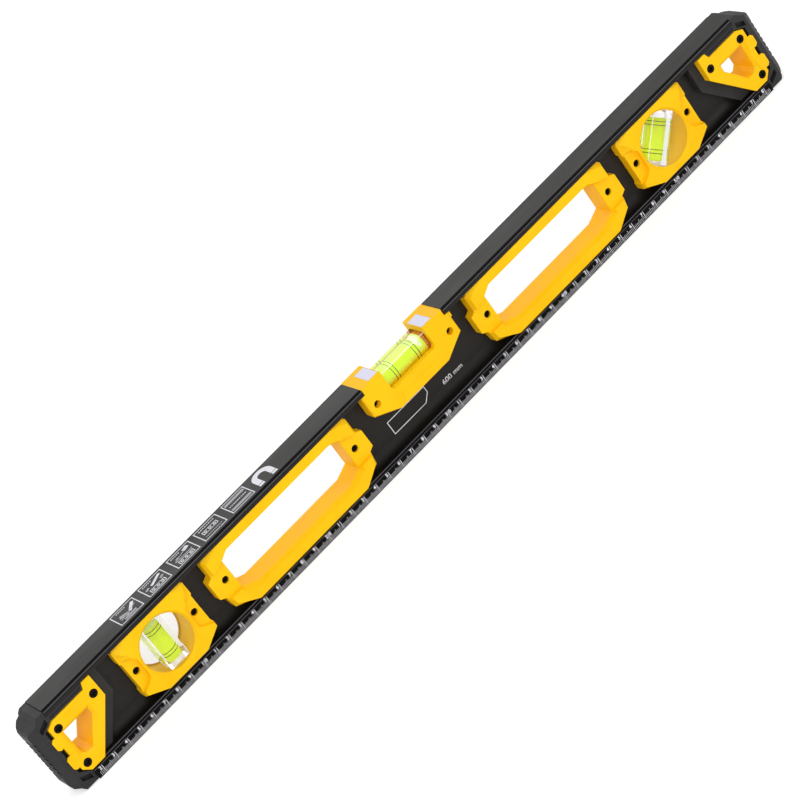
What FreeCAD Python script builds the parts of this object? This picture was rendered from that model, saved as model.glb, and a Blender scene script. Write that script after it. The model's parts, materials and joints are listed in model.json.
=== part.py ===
import FreeCAD, Part
import math
import os
import re
import Sketcher

# Magnetic spirit level, 600 mm: an I-section aluminium beam with soft end caps, yellow moulded
# inserts, two hand openings, a plumb vial, a 45 degree vial and a top-read centre vial.
# X runs along the beam to the right, the ruled front face looks to -Y and +Z is up.
# The origin is the middle of the base's underside.

doc = FreeCAD.newDocument("spirit_level")
dims = doc.addObject("Spreadsheet::Sheet", "Dims")

# Driving dimensions in millimetres; a station is a distance from the middle of the beam
driving = {
    # beam section
    "overall_length": 600,
    "cap_reach": 14.7,          # how far a cap stands past the end of the beam
    "beam_height": 54.5,
    "beam_width": 24,
    "top_land": 20.4,           # flat part of the upper measuring face
    "land_drop": 1.1,           # height of the bevel beside it
    "rail_edge": 4.0,           # thickness of the upper flange at its edge
    "base_edge": 6.3,           # height of the ruled edge
    "web_thickness": 3,
    "shelf_width": 2.6,         # flat ledge along the top of the base
    "shelf_step": 0.5,
    "sweep_radius": 7,          # hollow between flange and web
    "bead_height": 0.5,         # thin groove along the edge of the upper flange
    "bead_depth": 0.3,
    "bead_drop": 2.3,
    "fit_gap": 0.15,            # clearance between moulded pieces and the beam
    # shells that stand on the web
    "shell_front": 11.3,        # half width of handles and vial frames
    "shell_ledge": 8.4,         # half width at their recessed screw seats
    "seat_sink": 3,             # how far the heads sit below the recess
    "merge": 1,                 # how far joined forms of one piece run into each other
    "sleeve_wall": 2.4,
    # round vial frames
    "frame_inset": 91.4,        # centre of the window from the end of the level
    "frame_height": 28.6,       # centre of the window above the base
    "window_radius": 16.8,
    "window_bevel": 1.4,
    "frame_half": 27.9,
    "frame_waist": 27.0,
    "frame_crown": 24.9,        # half length along the upper edge
    "frame_sole": 14.8,         # half length along the lower edge
    "frame_shoulder": 47.4,     # where the upper corner's slope starts
    "frame_waist_top": 38.8,
    "frame_waist_bottom": 18.4,
    "frame_hip_top": 16.9,      # side of the lower corner
    "frame_hip_bottom": 13.4,
    "frame_facet": 3.2,         # how far the front face stays inside at the upper corner
    "frame_border": 0.9,        # the same along the lower corner
    "frame_screw": 22.75,
    "frame_screw_rise": 0.4,    # of the screws above the window's centre
    "recess_high": 9.3,         # screw recess above and below the window's centre
    "recess_low": 8.9,
    "recess_inner": 18.9,       # inner side of the recess from the window's centre
    "recess_corner": 2.4,
    "lens_radius": 17.6,
    "lens_thickness": 1.5,
    "lens_front": 9.8,
    # handles, reaching from the centre frame to the vial frames
    "handle_inner_gap": 10.3,
    "handle_outer_gap": 10.5,
    "handle_step": 3.6,         # how far the ends stand past the shoulders
    "handle_step_top": 36.4,
    "handle_step_slope": 1.8,
    "handle_step_bottom": 22.6,
    "handle_hip": 20.8,         # where the lower corner's side starts
    "handle_hip_inset": 3.4,
    "handle_foot": 12.6,        # where the lower corner's slope starts
    "handle_foot_inset": 4.6,
    "handle_sole_inset": 18.2,
    "handle_corner": 3,
    "handle_facet": 10,         # slope of the front face at the upper corner
    "handle_facet_drop": 4.4,
    "handle_border": 1.6,
    "seat_high": 40.8,          # recess round the screw, open to the hand opening
    "seat_high_outer": 37.6,
    "seat_low": 19.4,
    "seat_low_outer": 21.4,
    "handle_screw_inset": 9.4,
    "handle_screw_height": 29.2,
    "grip_inset": 14.5,         # hand opening from the ends of the handle
    "grip_bottom": 14.2,
    "grip_top": 42.4,
    "grip_slope": 10,           # lower corners of the hand opening
    "grip_slope_rise": 4,
    "grip_slant": 6.4,          # upper corners of the hand opening
    "grip_slant_drop": 3.6,
    "grip_flare": 1.5,          # widening of the opening towards the front face
    "grip_flare_depth": 3.4,
    # centre vial frame
    "notch_half": 33.6,         # half length of the gap in the upper flange
    "notch_depth": 19,
    "saddle_half": 36,
    "saddle_hip": 35.2,         # height where the lower corner's slope starts
    "saddle_bottom": 27.2,
    "saddle_slope": 16.4,
    "saddle_front": 11.3,
    "saddle_bevel": 1,
    "panel_half": 17,           # raised panel on the lower front
    "panel_taper": 3,
    "panel_height": 6.6,
    "panel_relief": 0.3,
    "nib_reach": 1.1,           # small key beside the flange
    "nib_height": 3.2,
    "nib_drop": 0.8,
    "tower_inner": 18,          # half distance between the two towers
    "tower_top_gap": 0.3,       # towers stay below the measuring face
    "tower_foot": 1.2,
    "tower_foot_rise": 1.5,
    "dip_height": 39.8,         # height of the wall in front of the vial
    "saddle_screw": 30.2,
    "saddle_screw_height": 40.4,
    "tile_length": 7.6,
    "tile_inset": 0.4,
    "tile_width": 15.6,
    "tile_thickness": 0.9,
    "tile_back": 6.2,
    # end caps, measured from the end of the level
    "cap_half": 11.2,
    "cap_top_gap": 0.8,
    "cap_bottom_gap": 0.5,
    "cap_column": 8.3,
    "cap_corner": 5.5,          # upright bevel at both sides of the end face
    "cap_toe": 5.8,             # lower front: sole, slanted toe, heel, end face
    "cap_toe_slant": 1.9,
    "cap_toe_rise": 2.6,
    "cap_heel": 0.9,
    "cap_heel_rise": 4,
    "cap_face_low": 7,
    "cap_lip_low": 12.6,        # lips above and below the ribs
    "cap_lip_high": 11.8,
    "cap_lip_slope": 1,
    "cap_face_high": 7.5,       # upper front, from the end face up to the top, in two steps
    "cap_brow": 1.2,
    "cap_brow_drop": 5.4,
    "cap_step": 3,
    "cap_step_drop": 4.5,
    "cap_step_end": 7.2,
    "cap_step_end_drop": 3,
    "cap_step_riser": 0.6,
    "cap_step_riser_drop": 1.7,
    "cap_top_start": 10,
    "cap_throat_high": 2.9,     # hollow between the bumper and the beam
    "cap_throat_low": 4.3,
    "cap_rib_depth": 0.8,
    "cap_rib_height": 2.2,
    "cap_rib_pitch": 3.6,
    "cap_rib_count": 8,
    "cap_rib_start": 1,
    "cap_rib_margin": 4,
    "cheek_half": 6.2,
    "cheek_reach": 52.6,
    "cheek_sole_reach": 33.4,
    "cheek_corner": 30,
    "bar_gap": 0.4,             # bar above the insert
    "bar_margin": 1.1,
    "bar_recess": 0.7,
    "slot_start": 6.6,
    "slot_end": 13,
    "slot_high": 43.3,
    "slot_low": 2.9,
    "slot_slant": 3,
    "slot_height": 3.4,
    "slot_depth": 3,
    # yellow inserts, measured from the end of the level
    "insert_front": 11.7,
    "insert_left": 10.6,
    "insert_right": 46.6,
    "insert_top": 45.9,
    "insert_bottom": 7.3,
    "insert_sole_reach": 24.5,
    "insert_corner": 34.3,      # where the slanted lower edge meets the right side
    "insert_toe": 4.3,
    "insert_slant": 5,
    "insert_slant_drop": 2.6,
    "tongue_width": 5.8,        # part beside the bar that reaches up to the flange
    "tongue_slant": 1.7,
    "screw_margin": 4.8,
    "screw_margin_right": 4.4,
    "screw_drop": 6,
    "screw_rise": 5.3,
    "tab_front": 12,
    "tab_left": 7.3,
    "tab_length": 7,
    "tab_corner": 1.4,
    "tab_high_top": 37.3,
    "tab_high_bottom": 29.2,
    "tab_low_top": 23.2,
    "tab_low_bottom": 14.1,
    "hang_wall": 1.6,
    "hang_left": 16.6,
    "hang_right": 35,
    "hang_top": 35.9,
    "hang_bottom": 16.5,
    "hang_corner": 2.6,
    "hang_sole_reach": 23.6,
    "hang_side": 4.4,
    "hang_flare": 1.6,
    "hang_flare_depth": 1.3,
    # vials
    "vial_width": 14,
    "vial_depth": 13,
    "vial_length": 33.6,
    "tube_radius": 4.6,
    "tube_length": 26,
    "centre_vial_length": 50,
    "centre_vial_depth": 15,
    "centre_tube_length": 38,
    "centre_tube_radius": 6,
    "centre_vial_drop": 4.4,    # from the measuring face down to the top of the block
    "plug_length": 3,
    "bubble_radius": 3.6,
    "seat_gap": 0.1,
    # screws
    "head_radius": 2.5,
    "head_height": 1.6,
    "small_head_radius": 2.1,
    "shank_radius": 1.3,
    "shank_room": 0.2,
    "shell_reach": 6.5,         # how far behind the web's middle the tips end
    "insert_reach": 9.5,
    "cross_margin": 0.8,        # metal left beside the ends of the cross
    "cross_width": 0.8,
    "cross_depth": 1,
    # magnets in the base
    "magnet_radius": 5,
    "magnet_height": 3,
    "magnet_station_inner": 92,
    "magnet_inset": 68,         # outer magnets from the ends of the level
}
for row, (alias, value) in enumerate(driving.items(), start=1):
    dims.set(f"A{row}", alias)
    dims.set(f"B{row}", str(value))
    dims.setAlias(f"B{row}", alias)
doc.recompute()

# Places that follow from the driving dimensions, each from those above it
derived = {
    "frame_station": "overall_length / 2 - frame_inset",
    "handle_inner_end": "saddle_half + handle_inner_gap",
    "handle_outer_end": "frame_station - frame_half - handle_outer_gap",
    "handle_station": "(handle_inner_end + handle_outer_end) / 2",
    "handle_half": "(handle_outer_end - handle_inner_end) / 2",
    "handle_shoulder": "handle_half - handle_step",
    "grip_half": "handle_half - grip_inset",
    "handle_screw": "handle_half - handle_screw_inset",
    "magnet_station_outer": "overall_length / 2 - magnet_inset",
    "screw_seat": "shell_ledge - seat_sink",
    "shelf_top": "base_edge + shelf_step",
    "flange_underside": "beam_height - rail_edge - shelf_step",
}
names = re.compile(r"\b(" + "|".join(sorted(derived, key=len, reverse=True)) + r")\b")
words = re.compile(r"\b(" + "|".join(sorted(driving, key=len, reverse=True)) + r")\b")


def bound(expression):
    """Expression of the sheet's cells for one written in plain names."""
    text = str(expression)
    while names.search(text):
        text = names.sub(lambda found: f"({derived[found.group(1)]})", text)
    return words.sub(r"Dims.\1", text)


def number(expression):
    return float(dims.evalExpression(bound(expression)))


def mirrored(corners):
    """Corners of one half, followed by the same corners reflected in the first coordinate."""
    return list(corners) + [(f"-({c[0]})",) + tuple(c[1:]) for c in reversed(corners)]


def shifted(corners, station):
    return [(f"{station} + ({c[0]})",) + tuple(c[1:]) for c in corners]


def origin_plane(body, role):
    return next(feature for feature in body.Origin.OriginFeatures if feature.Role == role)


def make_body(name):
    return doc.addObject("PartDesign::Body", name)


def make_sketch(body, name, role, offset):
    sketch = body.newObject("Sketcher::SketchObject", name)
    sketch.AttachmentSupport = (origin_plane(body, role), [""])
    sketch.MapMode = "FlatFace"
    sketch.setExpression("AttachmentOffset.Base.z", bound(offset))
    return sketch


def tie(sketch, kind, edge, point, value):
    """One driving constraint, bound to an expression of the sheet."""
    place = (edge, point) if point else (edge,)
    index = sketch.addConstraint(Sketcher.Constraint(kind, *place, number(value)))
    sketch.setExpression(f"Constraints[{index}]", bound(value))


def draw_outline(sketch, corners):
    """Closed outline; a corner with a radius starts an arc that bulges left or right of the way."""
    points = [FreeCAD.Vector(number(c[0]), number(c[1]), 0) for c in corners]
    first = sketch.GeometryCount
    count = len(corners)
    for index, corner in enumerate(corners):
        start, end = points[index], points[(index + 1) % count]
        if len(corner) == 2:
            sketch.addGeometry(Part.LineSegment(start, end))
            continue
        chord = end - start
        radius = number(corner[2])
        rise = radius - math.sqrt(max(radius ** 2 - chord.Length ** 2 / 4, 0))
        side = FreeCAD.Vector(-chord.y, chord.x, 0).normalize() * corner[3]
        sketch.addGeometry(Part.Arc(start, (start + end) / 2 + side * rise, end))
    for index, corner in enumerate(corners):
        edge, following = first + index, first + (index + 1) % count
        ends = [arc_end(sketch, edge, points[(index + 1) % count])]
        starts = [arc_start(sketch, following, points[(index + 1) % count])]
        sketch.addConstraint(Sketcher.Constraint("Coincident", edge, ends[0], following, starts[0]))
        own = arc_start(sketch, edge, points[index])
        tie(sketch, "DistanceX", edge, own, corner[0])
        tie(sketch, "DistanceY", edge, own, corner[1])
        if len(corner) > 2:
            tie(sketch, "Radius", edge, None, corner[2])


def arc_start(sketch, edge, point):
    """Number of the edge's end that lies on the point, because arcs may run the other way."""
    return 1 if (sketch.getPoint(edge, 1) - point).Length < 1e-6 else 2


arc_end = arc_start


def draw_circle(sketch, centre_x, centre_y, radius):
    centre = FreeCAD.Vector(number(centre_x), number(centre_y), 0)
    edge = sketch.addGeometry(Part.Circle(centre, FreeCAD.Vector(0, 0, 1), number(radius)))
    tie(sketch, "DistanceX", edge, 3, centre_x)
    tie(sketch, "DistanceY", edge, 3, centre_y)
    tie(sketch, "Radius", edge, None, radius)


def pad(body, sketch, length, both_ways=False, flip=False):
    feature = body.newObject("PartDesign::Pad", sketch.Name + "_pad")
    feature.Profile = sketch
    feature.setExpression("Length", bound(length))
    feature.Midplane = both_ways
    feature.Reversed = flip
    return feature


def cut_through(body, sketch):
    """Pocket that runs right through the body on both sides of its sketch."""
    feature = body.newObject("PartDesign::Pocket", sketch.Name + "_cut")
    feature.Profile = sketch
    feature.setExpression("Length", bound("4 * beam_width + overall_length"))
    feature.Midplane = True
    return feature


def slab(body, name, corners, inner, outer):
    """Outline in the XZ plane, thick from y = -inner to y = -outer."""
    sketch = make_sketch(body, name, "XZ_Plane", inner)
    draw_outline(sketch, corners)
    return pad(body, sketch, f"({outer}) - ({inner})")


def opening(body, name, corners):
    sketch = make_sketch(body, name, "XZ_Plane", "0")
    draw_outline(sketch, corners)
    return cut_through(body, sketch)


def flank(body, name, rim, face, inner, outer):
    """Front layer whose walls slope from the rim's outline to the face's, corner by corner."""
    low = make_sketch(body, f"{name}_rim", "XZ_Plane", inner)
    draw_outline(low, rim)
    high = make_sketch(body, f"{name}_face", "XZ_Plane", outer)
    draw_outline(high, face)
    loft = body.newObject("PartDesign::AdditiveLoft", name)
    loft.Profile = low
    loft.Sections = [high]
    loft.Ruled = True
    return loft


def flare_cut(body, name, small, large, inner, outer):
    """Widens an opening from the small outline to the large one between two depths."""
    low = make_sketch(body, f"{name}_small", "XZ_Plane", inner)
    draw_outline(low, small)
    high = make_sketch(body, f"{name}_large", "XZ_Plane", outer)
    draw_outline(high, large)
    loft = body.newObject("PartDesign::SubtractiveLoft", name)
    loft.Profile = low
    loft.Sections = [high]
    loft.Ruled = True
    return loft


def boolean(kind, name, base, tool):
    result = doc.addObject(f"Part::{kind}", name)
    result.Base = base
    result.Tool = tool
    return result


def reflect(name, source, normal):
    copy = doc.addObject("Part::Mirroring", name)
    copy.Source = source
    copy.Normal = normal
    return copy


def group(name, members):
    compound = doc.addObject("Part::Compound", name)
    compound.Links = members
    return compound


def rod(name, x, z, radius, y_from, y_to):
    """Cylinder along Y between two depths, y_from being the front one."""
    cylinder = doc.addObject("Part::Cylinder", name)
    cylinder.setExpression("Radius", bound(radius))
    cylinder.setExpression("Height", bound(f"({y_to}) - ({y_from})"))
    cylinder.Placement = FreeCAD.Placement(
        FreeCAD.Vector(number(x), number(y_from), number(z)),
        FreeCAD.Rotation(FreeCAD.Vector(1, 0, 0), -90))
    cylinder.setExpression("Placement.Base.x", bound(x))
    cylinder.setExpression("Placement.Base.y", bound(y_from))
    cylinder.setExpression("Placement.Base.z", bound(z))
    return cylinder


def block(name, x, y, z, length, width, height):
    """Box centred on x, y, z."""
    box = doc.addObject("Part::Box", name)
    for side, size, centre, key in (("Length", length, x, "x"), ("Width", width, y, "y"),
                                    ("Height", height, z, "z")):
        box.setExpression(side, bound(size))
        box.setExpression(f"Placement.Base.{key}", bound(f"({centre}) - ({size}) / 2"))
    return box


FRONT_TO_BACK = FreeCAD.Vector(0, 1, 0)
LEFT_TO_RIGHT = FreeCAD.Vector(1, 0, 0)
nodes = []


def keep(node, label):
    node.Label = label
    nodes.append(node)
    return node


# Beam section: one half of the outline, then its reflection; grow widens it all round
def beam_section(grow, with_bead):
    floor = f"base_edge + shelf_step + {grow}"
    ceiling = f"beam_height - rail_edge - shelf_step - {grow}"
    half = [
        (f"-(beam_width / 2 + {grow})", f"-({grow})"),
        (f"-(beam_width / 2 + {grow})", f"base_edge + {grow}"),
        ("-(beam_width / 2 - shelf_width)", f"base_edge + {grow}"),
        ("-(beam_width / 2 - shelf_width)", floor),
        ("-(web_thickness / 2 + sweep_radius)", floor, f"sweep_radius - {grow}", -1),
        (f"-(web_thickness / 2 + {grow})", f"{floor} + sweep_radius - {grow}"),
        (f"-(web_thickness / 2 + {grow})", f"{ceiling} - sweep_radius + {grow}",
         f"sweep_radius - {grow}", -1),
        ("-(web_thickness / 2 + sweep_radius)", ceiling),
        ("-(beam_width / 2 - shelf_width)", ceiling),
        ("-(beam_width / 2 - shelf_width)", f"beam_height - rail_edge - {grow}"),
        (f"-(beam_width / 2 + {grow})", f"beam_height - rail_edge - {grow}"),
    ]
    if with_bead:
        half += [
            ("-beam_width / 2", "beam_height - bead_drop - bead_height"),
            ("-(beam_width / 2 - bead_depth)", "beam_height - bead_drop - bead_height / 2"),
            ("-beam_width / 2", "beam_height - bead_drop"),
        ]
    half += [
        (f"-(beam_width / 2 + {grow})", f"beam_height - land_drop + {grow}"),
        ("-top_land / 2", f"beam_height + {grow}"),
    ]
    other = []
    for index, corner in enumerate(reversed(half)):
        source = half[len(half) - 2 - index] if index < len(half) - 1 else None
        mirror = (f"-({corner[0]})", corner[1])
        if source and len(source) > 2:
            mirror += (source[2], -1)
        other.append(mirror)
    return half + other


# Outlines that the web is cut for, each as (first, second coordinate) in the XZ plane
def grip_outline(station, grow):
    half = [
        (f"-(grip_half + {grow} - grip_slant)", f"grip_top + {grow}"),
        (f"-(grip_half + {grow})", f"grip_top + {grow} - grip_slant_drop"),
        (f"-(grip_half + {grow})", f"grip_bottom - {grow} + grip_slope_rise"),
        (f"-(grip_half + {grow} - grip_slope)", f"grip_bottom - {grow}"),
    ]
    return shifted(mirrored(half), station)


def hang_outline(grow):
    """Rounded triangle of the hang hole, from the left end of the level."""
    left = "-overall_length / 2"
    shorter = f"{grow} * tan(22.5 deg)"
    return [
        (f"{left} + hang_left - {grow}", f"hang_top + {grow}"),
        (f"{left} + hang_left - {grow}", f"hang_bottom + hang_corner - {shorter}"),
        (f"{left} + hang_left + hang_corner - {shorter}", f"hang_bottom - {grow}"),
        (f"{left} + hang_sole_reach + {shorter}", f"hang_bottom - {grow}"),
        (f"{left} + hang_right + {grow}", f"hang_top - hang_side - {shorter}"),
        (f"{left} + hang_right + {grow}", f"hang_top + {grow}"),
    ]


def notch_outline(grow):
    return [
        (f"-(notch_half - {grow})", "beam_height * 2"),
        (f"-(notch_half - {grow})", f"beam_height - notch_depth + {grow}"),
        (f"notch_half - {grow}", f"beam_height - notch_depth + {grow}"),
        (f"notch_half - {grow}", "beam_height * 2"),
    ]


def cut_web(body, prefix, slack):
    """Every opening of the web; slack is what it is wider than the sleeve inside it."""
    for side in (-1, 1):
        tag = "left" if side < 0 else "right"
        opening(body, f"{prefix}_grip_{tag}",
                grip_outline(f"{side} * handle_station", f"(sleeve_wall + {slack})"))
        sketch = make_sketch(body, f"{prefix}_window_{tag}", "XZ_Plane", "0")
        draw_circle(sketch, f"{side} * frame_station", "frame_height",
                    f"window_radius + sleeve_wall + {slack}")
        cut_through(body, sketch)
        corners = hang_outline(f"(hang_wall + {slack})")
        if side > 0:
            corners = [(f"-({c[0]})", c[1]) for c in reversed(corners)]
        opening(body, f"{prefix}_hang_{tag}", corners)
    opening(body, f"{prefix}_notch", notch_outline(f"(fit_gap - {slack})"))


# Screw places: (name, first coordinate, height, head radius, depth of the head's seat)
left_end = "-overall_length / 2"
insert_screws = [
    ("a", f"{left_end} + insert_left + screw_margin", "insert_top - screw_drop"),
    ("b", f"{left_end} + insert_right - screw_margin_right", "insert_top - screw_drop"),
    ("c", f"{left_end} + insert_left + screw_margin", "insert_bottom + screw_rise"),
]
handle_screws = [
    ("a", "-handle_station - handle_screw", "handle_screw_height"),
    ("b", "-handle_station + handle_screw", "handle_screw_height"),
]
frame_screws = [
    ("a", "-frame_station - frame_screw", "frame_height + frame_screw_rise"),
    ("b", "-frame_station + frame_screw", "frame_height + frame_screw_rise"),
]
saddle_screws = [("a", "-saddle_screw", "saddle_screw_height")]

# Beam
beam = make_body("beam_body")
section = make_sketch(beam, "section", "YZ_Plane", "0")
draw_outline(section, beam_section("0", True))
pad(beam, section, "overall_length - 2 * cap_reach", both_ways=True)
cut_web(beam, "web", "fit_gap")
holes = make_sketch(beam, "screw_holes", "XZ_Plane", "0")
for name, x, z in insert_screws + handle_screws + frame_screws + saddle_screws:
    draw_circle(holes, x, z, "shank_radius + shank_room")
    draw_circle(holes, f"-({x})", z, "shank_radius + shank_room")
cut_through(beam, holes)
magnet_seats = make_sketch(beam, "magnet_seats", "XY_Plane", "0")
for station in ("magnet_station_inner", "magnet_station_outer"):
    for side in (-1, 1):
        draw_circle(magnet_seats, f"{side} * {station}", "0", "magnet_radius + seat_gap")
seats = beam.newObject("PartDesign::Pocket", "magnet_seat_cut")
seats.Profile = magnet_seats
seats.setExpression("Length", bound("magnet_height + seat_gap"))
seats.Reversed = True
doc.recompute()
keep(beam, "beam")

# Room that the beam takes, widened by the fit, with the openings that the sleeves fill
room = make_body("beam_room")
room_section = make_sketch(room, "room_section", "YZ_Plane", "0")
draw_outline(room_section, beam_section("fit_gap", False))
pad(room, room_section, "overall_length - 2 * cap_reach + 2 * fit_gap", both_ways=True)
cut_web(room, "room", "0")
doc.recompute()

for station in ("inner", "outer"):
    for side, tag in ((-1, "left"), (1, "right")):
        magnet = doc.addObject("Part::Cylinder", f"magnet_{station}_{tag}")
        magnet.setExpression("Radius", "Dims.magnet_radius")
        magnet.setExpression("Height", "Dims.magnet_height")
        magnet.setExpression("Placement.Base.x", bound(f"{side} * magnet_station_{station}"))
        magnet.setExpression("Placement.Base.z", "Dims.seat_gap / 2")
keep(group("magnets", [o for o in doc.Objects if o.Name.startswith("magnet_")
                       and o.TypeId == "Part::Cylinder"]), "magnets")


def drill(name, places, head, seat):
    """Screw holes of a front shell: shank room right through and a sunk seat for the head."""
    tools = []
    for tag, x, z in places:
        tools.append(rod(f"{name}_{tag}_shank", x, z, "shank_radius + shank_room",
                         "-2 * beam_width", "0"))
        tools.append(rod(f"{name}_{tag}_seat", x, z, f"{head} + shank_room",
                         "-2 * beam_width", f"-({seat})"))
    return group(name, tools)


def pilot(name, places, reach):
    """Blind holes that the screw tips turn into, in a back shell."""
    return group(name, [rod(f"{name}_{tag}", x, z, "shank_radius + seat_gap / 2",
                            "0", f"{reach} + shank_room") for tag, x, z in places])


def screws(name, places, head, seat, reach):
    """Cross-head screws, their heads on the seat and their tips in the back shell."""
    members = []
    for tag, x, z in places:
        for side in ("", "_r"):
            key = f"{name}_{tag}{side}"
            along = f"-({x})" if side else x
            shank = rod(f"{key}_shank", along, z, "shank_radius", f"-({seat})", reach)
            cap = rod(f"{key}_head", along, z, head, f"-({seat}) - head_height", f"-({seat})")
            bars = []
            middle = f"-({seat}) - head_height + cross_depth / 2"
            span = f"2 * ({head} - cross_margin)"
            bars.append(block(f"{key}_bar_a", along, middle, z, span, "cross_depth", "cross_width"))
            bars.append(block(f"{key}_bar_b", along, middle, z, "cross_width", "cross_depth", span))
            solid = doc.addObject("Part::MultiFuse", f"{key}_solid")
            solid.Shapes = [shank, cap]
            cross = doc.addObject("Part::MultiFuse", f"{key}_cross")
            cross.Shapes = bars
            members.append(boolean("Cut", f"{key}_screw", solid, cross))
    return keep(group(f"{name}_group", members), name)


# Handles: a moulded ring round the hand opening, split along the middle of the web
handle = make_body("handle_blank")
handle_base_outline = [
    ("-(handle_shoulder - handle_corner)", "flange_underside"),
    ("-handle_shoulder", "flange_underside - handle_corner"),
    ("-handle_shoulder", "handle_step_top"),
    ("-handle_half", "handle_step_top - handle_step_slope"),
    ("-handle_half", "handle_step_bottom"),
    ("-(handle_half - handle_hip_inset)", "handle_hip"),
    ("-(handle_half - handle_foot_inset)", "handle_foot"),
    ("-(handle_half - handle_sole_inset)", "shelf_top"),
]
slab(handle, "handle_base", shifted(mirrored(handle_base_outline), "-handle_station"), "0", "shell_ledge")
handle_rim_outline = [
    ("-(handle_shoulder - handle_corner)", "flange_underside"),
    ("-handle_shoulder", "flange_underside - handle_corner"),
    ("-handle_shoulder", "seat_high_outer"),
    ("-grip_half", "seat_high"),
    ("-grip_half", "seat_low"),
    ("-(handle_half - handle_hip_inset)", "seat_low_outer - handle_border"),
    ("-(handle_half - handle_foot_inset)", "handle_foot"),
    ("-(handle_half - handle_sole_inset)", "shelf_top"),
]
handle_face_outline = [
    ("-(handle_shoulder - handle_corner - handle_facet)", "flange_underside"),
    ("-(handle_shoulder - handle_border)", "flange_underside - handle_facet_drop"),
    ("-(handle_shoulder - handle_border)", "seat_high_outer"),
    ("-grip_half", "seat_high"),
    ("-grip_half", "seat_low"),
    ("-(handle_half - handle_hip_inset - handle_border)", "seat_low_outer - handle_border"),
    ("-(handle_half - handle_foot_inset - handle_border)", "handle_foot + handle_border"),
    ("-(handle_half - handle_sole_inset)", "shelf_top"),
]
flank(handle, "handle_face", shifted(mirrored(handle_rim_outline), "-handle_station"),
      shifted(mirrored(handle_face_outline), "-handle_station"), "shell_ledge", "shell_front")
opening(handle, "handle_grip", grip_outline("-handle_station", "0"))
flare_cut(handle, "handle_flare", grip_outline("-handle_station", "0"),
          grip_outline("-handle_station", "grip_flare"), "shell_front - grip_flare_depth", "shell_front")
doc.recompute()
handle_shell = boolean("Cut", "handle_shell", handle, room)
handle_left_front = keep(boolean("Cut", "handle_lf", handle_shell, drill(
    "handle_drill", handle_screws, "small_head_radius", "screw_seat")), "handle_left_front")
handle_back_blank = reflect("handle_back_blank", handle_shell, FRONT_TO_BACK)
handle_left_back = keep(boolean("Cut", "handle_lb", handle_back_blank, pilot(
    "handle_pilot", handle_screws, "shell_reach")), "handle_left_back")
keep(reflect("handle_rf", handle_left_front, LEFT_TO_RIGHT), "handle_right_front")
keep(reflect("handle_rb", handle_left_back, LEFT_TO_RIGHT), "handle_right_back")
screws("handle_screws", handle_screws, "small_head_radius", "screw_seat", "shell_reach")


# Round vial frames: a faceted ring in two halves, with a lens on each side
frame = make_body("frame_blank")
frame_base_outline = [
    ("-frame_crown", "flange_underside"),
    ("-frame_half", "frame_shoulder"),
    ("-frame_half", "frame_waist_top"),
    ("-frame_waist", "frame_waist_top - (frame_half - frame_waist)"),
    ("-frame_waist", "frame_waist_bottom"),
    ("-frame_half", "frame_hip_top"),
    ("-frame_half", "frame_hip_bottom"),
    ("-frame_sole", "shelf_top"),
]
slab(frame, "frame_base", shifted(mirrored(frame_base_outline), "-frame_station"), "0", "shell_ledge")
frame_rim_outline = [
    ("-frame_crown", "flange_underside"),
    ("-frame_half", "frame_shoulder"),
    ("-frame_half", "frame_waist_top"),
    ("-(recess_inner + recess_corner)", "frame_height + recess_high"),
    ("-recess_inner", "frame_height + recess_high - recess_corner"),
    ("-recess_inner", "frame_height - recess_low + recess_corner"),
    ("-(recess_inner + recess_corner)", "frame_height - recess_low"),
    ("-frame_half", "frame_hip_top"),
    ("-frame_half", "frame_hip_bottom"),
    ("-frame_sole", "shelf_top"),
]
frame_face_outline = [
    ("-(frame_crown - 2 * frame_facet)", "flange_underside"),
    ("-(frame_half - frame_facet)", "frame_shoulder - frame_facet"),
    ("-(frame_half - 2 * frame_facet)", "frame_height + recess_high + recess_corner"),
    ("-(recess_inner + recess_corner)", "frame_height + recess_high"),
    ("-recess_inner", "frame_height + recess_high - recess_corner"),
    ("-recess_inner", "frame_height - recess_low + recess_corner"),
    ("-(recess_inner + recess_corner)", "frame_height - recess_low"),
    ("-(frame_half - frame_border)", "frame_hip_top"),
    ("-(frame_half - frame_border)", "frame_hip_bottom + frame_border"),
    ("-frame_sole", "shelf_top + frame_border"),
]
flank(frame, "frame_face", shifted(mirrored(frame_rim_outline), "-frame_station"),
      shifted(mirrored(frame_face_outline), "-frame_station"), "shell_ledge", "shell_front")
window = make_sketch(frame, "frame_window", "XZ_Plane", "0")
draw_circle(window, "-frame_station", "frame_height", "window_radius")
cut_through(frame, window)
lens_seat = make_sketch(frame, "frame_lens_seat", "XZ_Plane", "0")
draw_circle(lens_seat, "-frame_station", "frame_height", "lens_radius + seat_gap")
lens_cut = frame.newObject("PartDesign::Pocket", "frame_lens_cut")
lens_cut.Profile = lens_seat
lens_cut.setExpression("Length", bound("lens_front"))
lens_cut.Reversed = True
doc.recompute()
flare = doc.addObject("Part::Cone", "frame_flare")
flare.setExpression("Radius1", bound("window_radius + 2 * window_bevel"))
flare.setExpression("Radius2", bound("window_radius"))
flare.setExpression("Height", bound("2 * window_bevel"))
flare.Placement = FreeCAD.Placement(FreeCAD.Vector(0, 0, 0),
                                    FreeCAD.Rotation(FreeCAD.Vector(1, 0, 0), -90))
flare.setExpression("Placement.Base.x", bound("-frame_station"))
flare.setExpression("Placement.Base.y", bound("-shell_front - window_bevel"))
flare.setExpression("Placement.Base.z", bound("frame_height"))
frame_open = boolean("Cut", "frame_open", frame, room)
frame_shell = boolean("Cut", "frame_shell", frame_open, flare)
frame_shell_right = reflect("frame_shell_right", frame_shell, LEFT_TO_RIGHT)


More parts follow.
